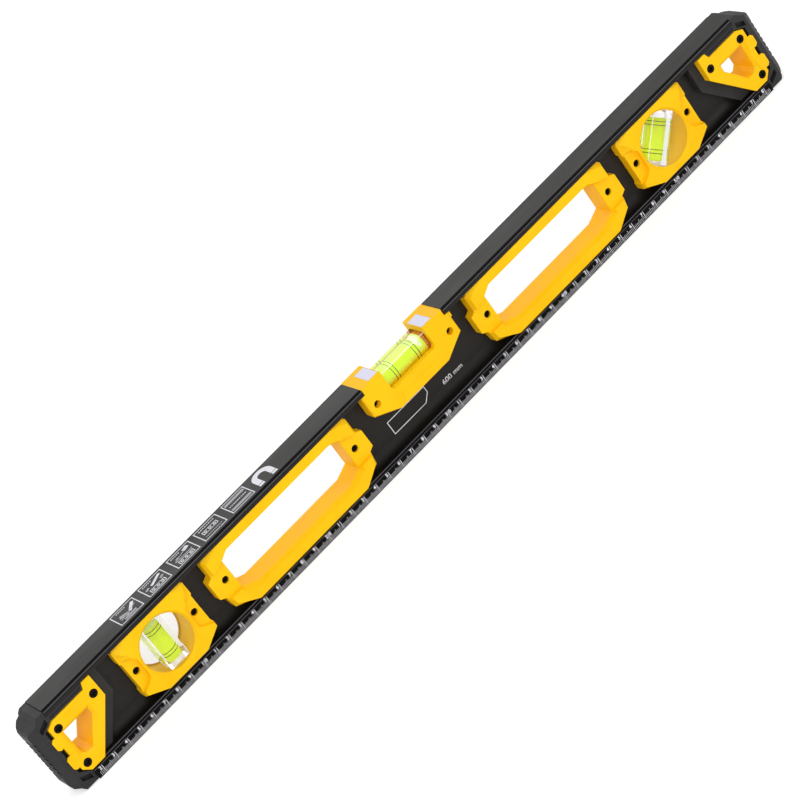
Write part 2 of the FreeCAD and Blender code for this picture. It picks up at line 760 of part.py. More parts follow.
def upright(name, radius, low, high):
    """Cylinder along Z."""
    cylinder = doc.addObject("Part::Cylinder", name)
    cylinder.setExpression("Radius", bound(radius))
    cylinder.setExpression("Height", bound(f"({high}) - ({low})"))
    cylinder.setExpression("Placement.Base.z", bound(low))
    return cylinder


def lean(thing, station, height, angle, low="0"):
    """Puts a piece modelled upright at its place, leaning from upright towards +X by an angle."""
    x = f"{station} + ({low}) * sin({angle} deg)"
    z = f"{height} + ({low}) * cos({angle} deg)"
    turn = FreeCAD.Rotation(FreeCAD.Vector(0, 1, 0), angle)
    thing.Placement = FreeCAD.Placement(FreeCAD.Vector(0, 0, 0), turn)
    thing.setExpression("Placement.Base.x", bound(x))
    thing.setExpression("Placement.Base.z", bound(z))
    return thing


def vial(tag, depth, length, tube, tube_length, place):
    """Clear block with a sealed bore of liquid; the bubble rests at the far end of the bore."""
    low = f"-({length}) / 2"
    start = f"{low} + plug_length"
    end = f"{start} + {tube_length}"
    bore = upright(f"{tag}_bore", tube, f"{low} - plug_length", end)
    clear = boolean("Cut", f"{tag}_clear",
                    block(f"{tag}_box", "0", "0", "0", "vial_width", depth, length), bore)
    keep(lean(clear, *place), f"vial_{tag}_block")
    column = upright(f"{tag}_column", f"{tube} - seat_gap / 2", start, f"{end} - seat_gap / 2")
    bubble = doc.addObject("Part::Sphere", f"{tag}_bubble")
    bubble.setExpression("Radius", bound("bubble_radius"))
    bubble.setExpression("Placement.Base.z", bound(f"{end} - bubble_radius / 2"))
    liquid = boolean("Cut", f"{tag}_liquid_cut", column, bubble)
    keep(lean(liquid, *place), f"vial_{tag}_liquid")
    plug = upright(f"{tag}_plug_rod", f"{tube} - seat_gap / 2", low, f"{start} - seat_gap / 2")
    keep(lean(plug, *place, low), f"vial_{tag}_plug")
    seat = block(f"{tag}_seat_box", "0", "0", "0", "vial_width + 2 * seat_gap",
                 f"{depth} + 2 * seat_gap", f"{length} + 2 * seat_gap")
    return lean(group(f"{tag}_seat", [seat]), *place)


plumb_seat = vial("plumb", "vial_depth", "vial_length", "tube_radius", "tube_length",
                  ("-frame_station", "frame_height", 0))
slant_seat = vial("slant", "vial_depth", "vial_length", "tube_radius", "tube_length",
                  ("frame_station", "frame_height", 45))
centre_seat = vial("centre", "centre_vial_depth", "centre_vial_length", "centre_tube_radius",
                   "centre_tube_length",
                   ("0", "beam_height - centre_vial_drop - vial_width / 2", 90))

frame_screws_right = [(tag, f"-({x})", z) for tag, x, z in frame_screws]
for tag, shell, seat, places in (("left", frame_shell, plumb_seat, frame_screws),
                                 ("right", frame_shell_right, slant_seat, frame_screws_right)):
    halves = {"front": (shell, drill(f"frame_drill_{tag}", places, "small_head_radius",
                                     "screw_seat")),
              "back": (reflect(f"frame_back_{tag}", shell, FRONT_TO_BACK),
                       pilot(f"frame_pilot_{tag}", places, "shell_reach"))}
    for face, (blank, tool) in halves.items():
        drilled = boolean("Cut", f"frame_drilled_{tag}_{face}", blank, tool)
        keep(boolean("Cut", f"frame_{tag}_{face}_cut", drilled, seat), f"vial_frame_{tag}_{face}")
        sign = -1 if face == "front" else 1
        station = "-frame_station" if tag == "left" else "frame_station"
        outer = f"{sign} * (lens_front - seat_gap / 2)"
        inner = f"{sign} * (lens_front - seat_gap / 2 - lens_thickness)"
        near, far = (outer, inner) if sign < 0 else (inner, outer)
        disc = rod(f"lens_disc_{tag}_{face}", station, "frame_height", "lens_radius", near, far)
        keep(disc, f"lens_{tag}_{face}")
screws("vial_frame_screws", frame_screws, "small_head_radius", "screw_seat", "shell_reach")

# Centre frame: a saddle in the gap of the upper flange that shows the vial from above
saddle = make_body("saddle_blank")
tower_top = "beam_height - tower_top_gap"
saddle_outline = [
    ("-(tower_inner - tower_foot)", "dip_height"),
    ("-tower_inner", "dip_height + tower_foot_rise"),
    ("-tower_inner", tower_top),
    ("-(notch_half - fit_gap)", tower_top),
    ("-(notch_half - fit_gap)", "flange_underside"),
    ("-saddle_half", "flange_underside"),
    ("-saddle_half", "saddle_hip"),
    ("-(saddle_half - saddle_slope)", "saddle_bottom"),
]
slab(saddle, "saddle_plate", mirrored(saddle_outline), "0", "saddle_front - saddle_bevel")
saddle_face_outline = [
    ("-(tower_inner - tower_foot)", "dip_height"),
    ("-tower_inner", "dip_height + tower_foot_rise"),
    ("-tower_inner", tower_top),
    ("-(notch_half - fit_gap - saddle_bevel / 2)", tower_top),
    ("-(notch_half - fit_gap - saddle_bevel / 2)", "flange_underside"),
    ("-(saddle_half - saddle_bevel)", "flange_underside"),
    ("-(saddle_half - saddle_bevel)", "saddle_hip + saddle_bevel / 2"),
    ("-(saddle_half - saddle_slope)", "saddle_bottom + saddle_bevel / 2"),
]
flank(saddle, "saddle_face", mirrored(saddle_outline), mirrored(saddle_face_outline),
      "saddle_front - saddle_bevel", "saddle_front")
slab(saddle, "saddle_panel", mirrored([
    ("-(panel_half - panel_taper)", "saddle_bottom + panel_height"),
    ("-panel_half", "saddle_bottom + saddle_bevel"),
]), "saddle_front", "saddle_front + panel_relief")
nib_top = "flange_underside - nib_drop"
slab(saddle, "saddle_nib", [
    ("saddle_half - saddle_bevel", nib_top),
    ("saddle_half + nib_reach", nib_top),
    ("saddle_half + nib_reach", f"{nib_top} - nib_height"),
    ("saddle_half - saddle_bevel", f"{nib_top} - nib_height"),
], "0", "saddle_front - saddle_bevel")
doc.recompute()
saddle_shell = boolean("Cut", "saddle_shell", saddle, room)
tiles = []
for side, tag in ((-1, "left"), (1, "right")):
    middle = f"{side} * (tower_inner + tile_length / 2 + tile_inset)"
    across = "tile_back - tile_width / 2"
    tile = block(f"tile_{tag}", middle, across, f"{tower_top} - tile_thickness / 2",
                 "tile_length", "tile_width", "tile_thickness")
    keep(tile, f"centre_tile_{tag}")
    tiles.append(block(f"tile_seat_{tag}", middle, across, f"{tower_top} - tile_thickness / 2",
                       "tile_length + 2 * seat_gap", "tile_width + 2 * seat_gap",
                       "tile_thickness + 2 * seat_gap"))
saddle_places = saddle_screws + [("c", f"-({saddle_screws[0][1]})", saddle_screws[0][2])]
for face, blank, tool in (
        ("front", saddle_shell, drill("saddle_drill", saddle_places, "small_head_radius",
                                      "screw_seat")),
        ("back", reflect("saddle_back_blank", saddle_shell, FRONT_TO_BACK),
         pilot("saddle_pilot", saddle_places, "shell_reach"))):
    cutter = group(f"saddle_cutter_{face}", [tool, centre_seat] + tiles)
    keep(boolean("Cut", f"saddle_{face}_cut", blank, cutter), f"centre_frame_{face}")
screws("centre_frame_screws", saddle_screws, "small_head_radius", "screw_seat", "shell_reach")

# End cap: a soft bumper whose cheeks lie on both sides of the web
cap = make_body("cap_blank")
crown = "beam_height - cap_top_gap"
sole = "cap_bottom_gap"
reach = "cap_reach - fit_gap"
cap_outline = [
    (reach, sole),
    ("cap_toe", sole),
    ("cap_toe - cap_toe_slant", f"{sole} + cap_toe_rise"),
    ("cap_heel", f"{sole} + cap_heel_rise"),
    ("0", f"{sole} + cap_face_low"),
    ("0", f"{sole} + cap_lip_low"),
    ("cap_rib_depth", f"{sole} + cap_lip_low + cap_lip_slope"),
    ("cap_rib_depth", f"{crown} - cap_lip_high - cap_lip_slope"),
    ("0", f"{crown} - cap_lip_high"),
    ("0", f"{crown} - cap_face_high"),
    ("cap_brow", f"{crown} - cap_brow_drop"),
    ("cap_step", f"{crown} - cap_step_drop"),
    ("cap_step_end", f"{crown} - cap_step_end_drop"),
    ("cap_step_end + cap_step_riser", f"{crown} - cap_step_riser_drop"),
    ("cap_top_start", crown),
    (reach, crown),
    (reach, "insert_top + bar_gap"),
    ("cap_column", "insert_top - cap_throat_high"),
    ("cap_column", "insert_bottom + cap_throat_low"),
    (reach, "shelf_top + fit_gap"),
]
bumper = make_sketch(cap, "cap_bumper", "XZ_Plane", "0")
draw_outline(bumper, shifted(cap_outline, left_end))
pad(cap, bumper, "2 * cap_half", both_ways=True)
cheek_outline = [
    ("cap_column - merge", "shelf_top + fit_gap"),
    ("cheek_sole_reach", "shelf_top + fit_gap"),
    ("cheek_reach", "cheek_corner"),
    ("cheek_reach", "flange_underside - fit_gap"),
    ("cap_column - merge", "flange_underside - fit_gap"),
]
cheek = make_sketch(cap, "cap_cheek", "XZ_Plane", "0")
draw_outline(cheek, shifted(cheek_outline, left_end))
pad(cap, cheek, "2 * cheek_half", both_ways=True)
bar_outline = [
    ("cap_reach - 2 * merge", "insert_top + bar_gap"),
    ("insert_right - tongue_width - tongue_slant", "insert_top + bar_gap"),
    ("insert_right - tongue_width - bar_gap", "flange_underside - fit_gap"),
    ("cap_reach - 2 * merge", "flange_underside - fit_gap"),
]
bar = make_sketch(cap, "cap_bar", "XZ_Plane", "0")
draw_outline(bar, shifted(bar_outline, left_end))
pad(cap, bar, "2 * cap_half", both_ways=True)
rib = make_sketch(cap, "cap_rib", "YZ_Plane", left_end)
rib_low = f"{sole} + cap_lip_low + cap_lip_slope + cap_rib_start"
draw_outline(rib, [
    ("-(cap_half - cap_rib_margin)", rib_low),
    ("cap_half - cap_rib_margin", rib_low),
    ("cap_half - cap_rib_margin", f"{rib_low} + cap_rib_height"),
    ("-(cap_half - cap_rib_margin)", f"{rib_low} + cap_rib_height"),
])
rib_pad = pad(cap, rib, "cap_rib_depth + seat_gap")
doc.recompute()
ribs = cap.newObject("PartDesign::LinearPattern", "cap_ribs")
ribs.Originals = [rib_pad]
ribs.Direction = (rib, ["V_Axis"])
ribs.setExpression("Length", bound("cap_rib_pitch * (cap_rib_count - 1)"))
ribs.setExpression("Occurrences", bound("cap_rib_count"))
cap.Tip = ribs
doc.recompute()
for side in (-1, 1):
    corner = make_sketch(cap, f"cap_corner_{'a' if side < 0 else 'b'}", "XY_Plane", "0")
    draw_outline(corner, [
        (f"{left_end} - merge", f"{side} * (cap_half + merge)"),
        (f"{left_end} - merge", f"{side} * (cap_half - cap_corner)"),
        (f"{left_end} + cap_corner", f"{side} * (cap_half + merge)"),
    ])
    cut_through(cap, corner)
slots = {
    "high": [("slot_start", "slot_high"), ("slot_end", "slot_high + slot_slant"),
             ("slot_end", "slot_high + slot_slant + slot_height"),
             ("slot_start", "slot_high + slot_height")],
    "low": [("slot_start", "slot_low + slot_slant"), ("slot_end", "slot_low"),
            ("slot_end", "slot_low + slot_height"),
            ("slot_start", "slot_low + slot_slant + slot_height")],
    "bar": [("cap_reach + bar_margin", "insert_top + bar_gap + bar_margin"),
            ("insert_right - tongue_width - tongue_slant - bar_margin",
             "insert_top + bar_gap + bar_margin"),
            ("insert_right - tongue_width - tongue_slant",
             "flange_underside - fit_gap - bar_margin"),
            ("cap_reach + bar_margin", "flange_underside - fit_gap - bar_margin")],
}
for level, corners in slots.items():
    for face, side in (("front", 1), ("back", -1)):
        pocket_sketch = make_sketch(cap, f"cap_slot_{level}_{face}", "XZ_Plane", f"{side} * cap_half")
        draw_outline(pocket_sketch, shifted(corners, left_end))
        slot = cap.newObject("PartDesign::Pocket", f"cap_slot_{level}_{face}_cut")
        slot.Profile = pocket_sketch
        slot.setExpression("Length", bound("bar_recess" if level == "bar" else "slot_depth"))
        slot.Reversed = side < 0
opening(cap, "cap_hang", hang_outline("(hang_wall + seat_gap)"))
cap_holes = make_sketch(cap, "cap_screw_holes", "XZ_Plane", "0")
for name, x, z in insert_screws:
    draw_circle(cap_holes, x, z, "shank_radius + shank_room")
cut_through(cap, cap_holes)
doc.recompute()
keep(boolean("Cut", "cap_left_cut", cap, room), "end_cap_left")
keep(reflect("cap_right", nodes[-1], LEFT_TO_RIGHT), "end_cap_right")

# Yellow insert: a plate on the cheek with two tabs over the cap and a sleeve through the web
insert = make_body("insert_blank")
insert_outline = [
    ("insert_left", "insert_top - insert_slant_drop"),
    ("insert_left + insert_slant", "insert_top"),
    ("insert_right - tongue_width - tongue_slant", "insert_top"),
    ("insert_right - tongue_width", "flange_underside - fit_gap"),
    ("insert_right", "flange_underside - fit_gap"),
    ("insert_right", "insert_corner"),
    ("insert_sole_reach", "insert_bottom"),
    ("insert_left + insert_toe", "insert_bottom"),
    ("insert_left", "insert_bottom + insert_toe"),
]
slab(insert, "insert_plate", shifted(insert_outline, left_end), "cheek_half + seat_gap", "insert_front")
slab(insert, "insert_sleeve", hang_outline("hang_wall"), "0", "cheek_half + merge")
for level in ("high", "low"):
    low, high = f"tab_{level}_bottom", f"tab_{level}_top"
    slab(insert, f"insert_tab_{level}", shifted([
        ("tab_left", f"{high} - tab_corner"),
        ("tab_left + tab_corner", high),
        ("tab_left + tab_length", high),
        ("tab_left + tab_length", low),
        ("tab_left + tab_corner", low),
        ("tab_left", f"{low} + tab_corner")],
        left_end), "cap_half + seat_gap / 2", "tab_front")
opening(insert, "insert_hang", hang_outline("0"))
flare_cut(insert, "insert_flare", hang_outline("0"), hang_outline("hang_flare"),
          "insert_front - hang_flare_depth", "insert_front")
doc.recompute()
insert_shell = boolean("Cut", "insert_shell", insert, room)
insert_front_left = keep(boolean("Cut", "insert_lf", insert_shell, drill(
    "insert_drill", insert_screws, "head_radius", "insert_front - head_height")),
    "end_insert_left_front")
insert_back_blank = reflect("insert_back_blank", insert_shell, FRONT_TO_BACK)
insert_back_left = keep(boolean("Cut", "insert_lb", insert_back_blank, pilot(
    "insert_pilot", insert_screws, "insert_reach")), "end_insert_left_back")
keep(reflect("insert_rf", insert_front_left, LEFT_TO_RIGHT), "end_insert_right_front")
keep(reflect("insert_rb", insert_back_left, LEFT_TO_RIGHT), "end_insert_right_back")
screws("end_insert_screws", insert_screws, "head_radius", "insert_front - head_height", "insert_reach")

doc.recompute()
os.makedirs("parts", exist_ok=True)
for thing in doc.Objects:
    if "Invalid" in thing.State or "Error" in thing.State:
        raise SystemExit(f"{thing.Label}: {thing.State}")
for node in nodes:
    if node.Shape.isNull() or not node.Shape.isValid():
        raise SystemExit(f"{node.Label}: bad shape")
    node.Shape.exportStep(f"parts/{node.Label}.step")
    print(node.Label, len(node.Shape.Solids), round(node.Shape.Volume), node.Shape.BoundBox)
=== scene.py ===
import bmesh
import bpy
import json
import math
import numpy as np
from mathutils import Matrix, Vector


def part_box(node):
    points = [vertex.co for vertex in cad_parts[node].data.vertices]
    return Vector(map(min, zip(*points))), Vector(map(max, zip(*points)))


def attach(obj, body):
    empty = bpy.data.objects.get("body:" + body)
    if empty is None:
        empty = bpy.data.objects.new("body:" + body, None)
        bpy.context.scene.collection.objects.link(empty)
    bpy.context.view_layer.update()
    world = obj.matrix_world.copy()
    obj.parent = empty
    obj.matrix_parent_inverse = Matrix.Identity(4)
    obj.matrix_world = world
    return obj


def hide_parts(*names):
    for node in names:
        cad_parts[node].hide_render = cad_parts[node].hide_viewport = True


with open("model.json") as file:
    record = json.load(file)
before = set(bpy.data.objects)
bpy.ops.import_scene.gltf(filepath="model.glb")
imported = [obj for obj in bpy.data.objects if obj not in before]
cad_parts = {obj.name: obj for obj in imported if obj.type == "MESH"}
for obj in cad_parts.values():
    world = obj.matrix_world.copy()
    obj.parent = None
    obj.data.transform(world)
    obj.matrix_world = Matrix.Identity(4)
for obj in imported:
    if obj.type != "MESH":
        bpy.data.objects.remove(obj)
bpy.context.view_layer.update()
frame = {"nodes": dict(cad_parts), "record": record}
mm = 0.001
scene = bpy.context.scene
print("frame loaded:", len(frame["nodes"]), "nodes")


# colours and nodes

def fromHex(code):
    # sRGB hex to linear: a channel over 0.04 is (c + 0.055) / 1.055 to the power 2.4, a darker one c / 12.92
    channels = [int(code[i:i + 2], 16) / 255 for i in (1, 3, 5)]
    return [c / 12.92 if c <= 0.04045 else ((c + 0.055) / 1.055) ** 2.4 for c in channels] + [1.0]


def greyOf(value):
    # grey as a colour: the same value three times
    return [value, value, value, 1.0]


def perSize(size, stretch=(1, 1, 1)):
    # a noise cell is one unit wide: the scale is one over the real size in metres, less on a stretched axis
    return [1 / (size * mm * s) for s in stretch]


def addNode(owner, kind, values=None, links=None, stops=None, **settings):
    # adds one node: settings are its own, values go on its sockets, links are socket: (node, output)
    # and stops, as (position, colour), fill a ramp
    node = owner.node_tree.nodes.new(kind)
    for name, value in settings.items():
        setattr(node, name, value)
    for socket, value in (values or {}).items():
        node.inputs[socket].default_value = value
    for socket, (source, output) in (links or {}).items():
        owner.node_tree.links.new(source.outputs[output], node.inputs[socket])
    if stops:
        for element, (position, colour) in zip(node.color_ramp.elements, stops):
            element.position = position
            element.color = colour
    return node


def newMaterial(name):
    # empty material and its coordinate node
    material = bpy.data.materials.new(name)
    material.use_nodes = True
    material.node_tree.nodes.clear()
    return material, addNode(material, "ShaderNodeTexCoord")


# black anodised beam: extruded aluminium, with fine lengthwise streaks and a low sheen. By its place on the
# object it is nearly black on the ruled edge; beside the top land it is painted near black as a dark reflection,
# low on the web it is painted black as shade, and three rims have painted highlight lines
# its black is a painted dark reflection beside the top land and painted shade low on the web, as well as the
# ruled edge
anodised = {"dark": "#1D1B1A", "light": "#262422", "roughLow": 0.36, "roughHigh": 0.48, "specular": 0.17,
            "streak": 0.22, "streakLength": 90, "cloud": 14,
            # the light line colour paints highlights along three rims
            "black": "#0A0908", "highlightLine": "#5C5C62", "landEdge": 10.2, "landLow": 53.45,
            "highlightLow": 53.1, "ruleFront": -11.95, "ruleTop": 6.3, "rimLow": 6.0,
            "shelfIn": 9.2, "shelfOut": 9.6, "shelfLow": 6.3, "shelfHigh": 6.9,
            "sweepLow": 7.5, "sweepHigh": 15.0, "scratch": 0.02}    # places and sizes in millimetres


def anodisedAluminium():
    f = anodised
    material, place = newMaterial("anodisedAluminium")
    spread = addNode(material, "ShaderNodeMapping", {"Scale": perSize(f["streak"], (f["streakLength"], 1, 1))},
                     {"Vector": (place, "Object")})
    streaks = addNode(material, "ShaderNodeTexNoise", {"Scale": 1.0, "Detail": 4.0, "Roughness": 0.6},
                      {"Vector": (spread, 0)})
    wide = addNode(material, "ShaderNodeMapping", {"Scale": perSize(f["cloud"], (4, 1, 1))},
                   {"Vector": (place, "Object")})
    cloud = addNode(material, "ShaderNodeTexNoise", {"Scale": 1.0, "Detail": 2.0}, {"Vector": (wide, 0)})
    colour = addNode(material, "ShaderNodeValToRGB", {}, {"Fac": (streaks, "Fac")},
                     [(0.35, fromHex(f["dark"])), (0.65, fromHex(f["light"]))])
    rough = addNode(material, "ShaderNodeValToRGB", {}, {"Fac": (cloud, "Fac")},
                    [(0.3, greyOf(f["roughLow"])), (0.7, greyOf(f["roughHigh"]))])
    axis = addNode(material, "ShaderNodeSeparateXYZ", {}, {"Vector": (place, "Object")})
    side = addNode(material, "ShaderNodeMath", {}, {0: (axis, "Y")}, operation="ABSOLUTE")
    # strip beside the top land, painted near black there as a dark reflection: further out than its edge and
    # above the flange's front
    beside = addNode(material, "ShaderNodeMath", {1: f["landEdge"] * mm}, {0: (side, 0)},
                     operation="GREATER_THAN")
    above = addNode(material, "ShaderNodeMath", {1: f["landLow"] * mm}, {0: (axis, "Z")},
                    operation="GREATER_THAN")
    strip = addNode(material, "ShaderNodeMath", {}, {0: (beside, 0), 1: (above, 0)}, operation="MULTIPLY")
    # ruled edge: in front of its plane and below its top
    before = addNode(material, "ShaderNodeMath", {1: f["ruleFront"] * mm}, {0: (axis, "Y")},
                     operation="LESS_THAN")
    below = addNode(material, "ShaderNodeMath", {1: f["ruleTop"] * mm}, {0: (axis, "Z")},
                    operation="LESS_THAN")
    ruled = addNode(material, "ShaderNodeMath", {}, {0: (before, 0), 1: (below, 0)}, operation="MULTIPLY")
    mask = addNode(material, "ShaderNodeMath", {}, {0: (strip, 0), 1: (ruled, 0)}, operation="MAXIMUM")
    # first painted highlight: a light line on the upper rim of the flange's front
    over = addNode(material, "ShaderNodeMath", {1: f["highlightLow"] * mm}, {0: (axis, "Z")},
                   operation="GREATER_THAN")
    rim = addNode(material, "ShaderNodeMath", {}, {0: (beside, 0), 1: (over, 0)}, operation="MULTIPLY")
    line = addNode(material, "ShaderNodeMixRGB", {"Color2": fromHex(f["highlightLine"])},
                   {"Fac": (rim, 0), "Color1": (colour, 0)})
    # painted shade: black in the hollow above the base, fading evenly up the web; or black in the strip and on
    # the ruled edge, whichever is more
    sweep = addNode(material, "ShaderNodeMapRange",
                    {"From Min": f["sweepLow"] * mm, "From Max": f["sweepHigh"] * mm,
                     "To Min": 1.0, "To Max": 0.0},
                    {"Value": (axis, "Z")})
    shade = addNode(material, "ShaderNodeMath", {}, {0: (mask, 0), 1: (sweep, 0)}, operation="MAXIMUM")
    darkened = addNode(material, "ShaderNodeMixRGB", {"Color2": fromHex(f["black"])},
                   {"Fac": (shade, 0), "Color1": (line, 0)})
    # two more painted highlights: light lines on the upper rim of the ruled face and on that of the shelf, in a
    # band of depth and of height
    upper = addNode(material, "ShaderNodeMath", {1: f["rimLow"] * mm}, {0: (axis, "Z")},
                    operation="GREATER_THAN")
    ruleRim = addNode(material, "ShaderNodeMath", {}, {0: (upper, 0), 1: (ruled, 0)}, operation="MULTIPLY")
    band = addNode(material, "ShaderNodeMath",
                   {1: (f["shelfIn"] + f["shelfOut"]) / 2 * mm, 2: (f["shelfOut"] - f["shelfIn"]) / 2 * mm},
                   {0: (side, 0)}, operation="COMPARE")
    height = addNode(material, "ShaderNodeMath",
                     {1: (f["shelfLow"] + f["shelfHigh"]) / 2 * mm,
                      2: (f["shelfHigh"] - f["shelfLow"]) / 2 * mm},
                     {0: (axis, "Z")}, operation="COMPARE")
    shelfRim = addNode(material, "ShaderNodeMath", {}, {0: (band, 0), 1: (height, 0)}, operation="MULTIPLY")
    rims = addNode(material, "ShaderNodeMath", {}, {0: (ruleRim, 0), 1: (shelfRim, 0)}, operation="MAXIMUM")
    base = addNode(material, "ShaderNodeMixRGB", {"Color2": fromHex(f["highlightLine"])},
                   {"Fac": (rims, 0), "Color1": (darkened, 0)})
    dull = addNode(material, "ShaderNodeMath", {}, {0: (rough, 0), 1: (mask, 0)}, operation="MAXIMUM")
    bump = addNode(material, "ShaderNodeBump", {"Distance": f["scratch"] * mm, "Strength": 0.35},
                   {"Height": (streaks, "Fac")})
    shader = addNode(material, "ShaderNodeBsdfPrincipled", {"Specular IOR Level": f["specular"], "IOR": 1.5},
                     {"Base Color": (base, 0), "Roughness": (dull, 0), "Normal": (bump, 0)})
    addNode(material, "ShaderNodeOutputMaterial", {}, {"Surface": (shader, 0)})
    return material


# moulded pieces: the grain is that of the mould, the slow change in colour and gloss that of the flow
rubber = {"dark": "#232223", "light": "#2D2C2D", "roughLow": 0.55, "roughHigh": 0.70, "specular": 0.28,
          "ior": 1.5, "grain": 0.35, "grainHeight": 0.05, "flow": 9}    # thermoplastic rubber: dark and matt
yellow = {"dark": "#FBC006", "light": "#FFC80E", "roughLow": 0.42, "roughHigh": 0.54, "specular": 0.12,
          "ior": 1.53, "grain": 0.22, "grainHeight": 0.02, "flow": 16}    # moulded ABS: warm yellow, satin


def mouldedPlastic(name, f):
    # colour and roughness follow one slow noise, the bump follows the fine grain
    material, place = newMaterial(name)
    small = addNode(material, "ShaderNodeMapping", {"Scale": perSize(f["grain"])},
                    {"Vector": (place, "Object")})
    fine = addNode(material, "ShaderNodeTexNoise", {"Scale": 1.0, "Detail": 2.0}, {"Vector": (small, 0)})
    large = addNode(material, "ShaderNodeMapping", {"Scale": perSize(f["flow"])},
                    {"Vector": (place, "Object")})
    flow = addNode(material, "ShaderNodeTexNoise", {"Scale": 1.0, "Detail": 3.0}, {"Vector": (large, 0)})
    colour = addNode(material, "ShaderNodeValToRGB", {}, {"Fac": (flow, "Fac")},
                     [(0.3, fromHex(f["dark"])), (0.7, fromHex(f["light"]))])
    rough = addNode(material, "ShaderNodeValToRGB", {}, {"Fac": (flow, "Fac")},
                    [(0.3, greyOf(f["roughLow"])), (0.7, greyOf(f["roughHigh"]))])
    bump = addNode(material, "ShaderNodeBump", {"Distance": f["grainHeight"] * mm, "Strength": 0.4},
                   {"Height": (fine, "Fac")})
    shader = addNode(material, "ShaderNodeBsdfPrincipled",
                     {"Specular IOR Level": f["specular"], "IOR": f["ior"]},
                     {"Base Color": (colour, 0), "Roughness": (rough, 0), "Normal": (bump, 0)})
    addNode(material, "ShaderNodeOutputMaterial", {}, {"Surface": (shader, 0)})
    return material


# cast acrylic of the vials: polished, bends what lies behind it, with faint waves from the mould
acrylic = {"colour": "#FCFBFF", "ior": 1.49, "waves": 7, "waveHeight": 0.015}


def castAcrylic():
    # full transmission, with the waves as a weak bump
    f = acrylic
    material, place = newMaterial("castAcrylic")
    spread = addNode(material, "ShaderNodeMapping", {"Scale": perSize(f["waves"])},
                     {"Vector": (place, "Object")})
    waves = addNode(material, "ShaderNodeTexNoise", {"Scale": 1.0, "Detail": 1.0}, {"Vector": (spread, 0)})
    bump = addNode(material, "ShaderNodeBump", {"Distance": f["waveHeight"] * mm, "Strength": 0.1},
                   {"Height": (waves, "Fac")})
    shader = addNode(material, "ShaderNodeBsdfPrincipled",
                     {"Base Color": fromHex(f["colour"]), "Roughness": 0.0, "IOR": f["ior"],
                      "Transmission Weight": 1.0},
                     {"Normal": (bump, 0)})
    addNode(material, "ShaderNodeOutputMaterial", {}, {"Surface": (shader, 0)})
    return material


# thin clear sheets and fillings, seen through by their alpha: moulded polycarbonate lenses, a painted highlight
# on the polished acrylic edges, film and wall of the air bubbles (the wall a painted highlight), the vials'
# plugs and the seal of the level one
seeThrough = {
    "lensSheet": {"colour": "#9A8F86", "alpha": 0.04, "rough": 0.05, "light": 0.0, "mottle": 6},
    "edgeHighlight": {"colour": "#FFFFFF", "alpha": 0.50, "rough": 0.10, "light": 0.15, "mottle": 2},
    "bubbleFilm": {"colour": "#F4F2FF", "alpha": 0.14, "rough": 0.05, "light": 0.10, "mottle": 2},
    # the bubble wall is a painted highlight: whitish, half opaque and glowing
    "bubbleWall": {"colour": "#F2F4E6", "alpha": 0.55, "rough": 0.10, "light": 0.30, "mottle": 2},
    "vialPlug": {"colour": "#F3EEE6", "alpha": 0.62, "rough": 0.20, "light": 0.18, "mottle": 2},
    "endSeal": {"colour": "#E07A08", "alpha": 0.90, "rough": 0.30, "light": 0.15, "mottle": 2},
}
unevenGloss = 0.3    # how far a sheet's roughness strays from its middle, as a share


def clearSheet(name):
    # a constant alpha, a roughness that strays by the uneven share either way, and a little painted glow of its
    # own, as emission
    f = seeThrough[name]
    material, place = newMaterial(name)
    spread = addNode(material, "ShaderNodeMapping", {"Scale": perSize(f["mottle"])},
                     {"Vector": (place, "Object")})
    mottle = addNode(material, "ShaderNodeTexNoise", {"Scale": 1.0, "Detail": 2.0}, {"Vector": (spread, 0)})
    rough = addNode(material, "ShaderNodeValToRGB", {}, {"Fac": (mottle, "Fac")},
                    [(0.3, greyOf(f["rough"] * (1 - unevenGloss))),
                     (0.7, greyOf(f["rough"] * (1 + unevenGloss)))])
    shader = addNode(material, "ShaderNodeBsdfPrincipled",
                     {"Base Color": fromHex(f["colour"]), "Alpha": f["alpha"], "IOR": 1.49,
                      "Emission Color": fromHex(f["colour"]), "Emission Strength": f["light"]},
                     {"Roughness": (rough, 0)})
    addNode(material, "ShaderNodeOutputMaterial", {}, {"Surface": (shader, 0)})
    return material


# dyed spirit of the vials: yellow-green, with a painted glow as emission. The upright ones are painted a little
# lighter towards the top; the level one has the yellow saddle's light painted in, so it runs from orange at the
# bottom to lime at the top, over the height of its tube
spirit = {"alpha": 0.95, "light": 0.42, "upright": [("#D0EA00", 14.0), ("#DCF400", 44.0)],
          "level": [("#E0A000", 38.2), ("#C8F01E", 44.6)]}


def dyedSpirit(name, colours):
    # the painted change in colour runs evenly between the two given heights
    material, place = newMaterial(name)
    axis = addNode(material, "ShaderNodeSeparateXYZ", {}, {"Vector": (place, "Object")})
    height = addNode(material, "ShaderNodeMapRange",
                     {"From Min": colours[0][1] * mm, "From Max": colours[-1][1] * mm}, {"Value": (axis, "Z")})
    tone = addNode(material, "ShaderNodeValToRGB", {}, {"Fac": (height, 0)},
                   [(0.0, fromHex(colours[0][0])), (1.0, fromHex(colours[-1][0]))])
    shader = addNode(material, "ShaderNodeBsdfPrincipled",
                     {"Roughness": 0.3, "IOR": 1.36, "Specular IOR Level": 0.1, "Alpha": spirit["alpha"],
                      "Emission Strength": spirit["light"]},
                     {"Base Color": (tone, 0), "Emission Color": (tone, 0)})
    addNode(material, "ShaderNodeOutputMaterial", {}, {"Surface": (shader, 0)})
    return material


# screen-printed ink: a thin even film with slightly uneven gloss
inks = {"whiteInk": "#E2E2E8", "greyInk": "#A3A2A8", "ruleInk": "#F2F2FA", "blackInk": "#0C0D0B",
        "tileInk": "#DCDCF0"}
inkLook = {"mottle": 0.6, "roughLow": 0.42, "roughHigh": 0.58, "specular": 0.25, "film": 0.02}


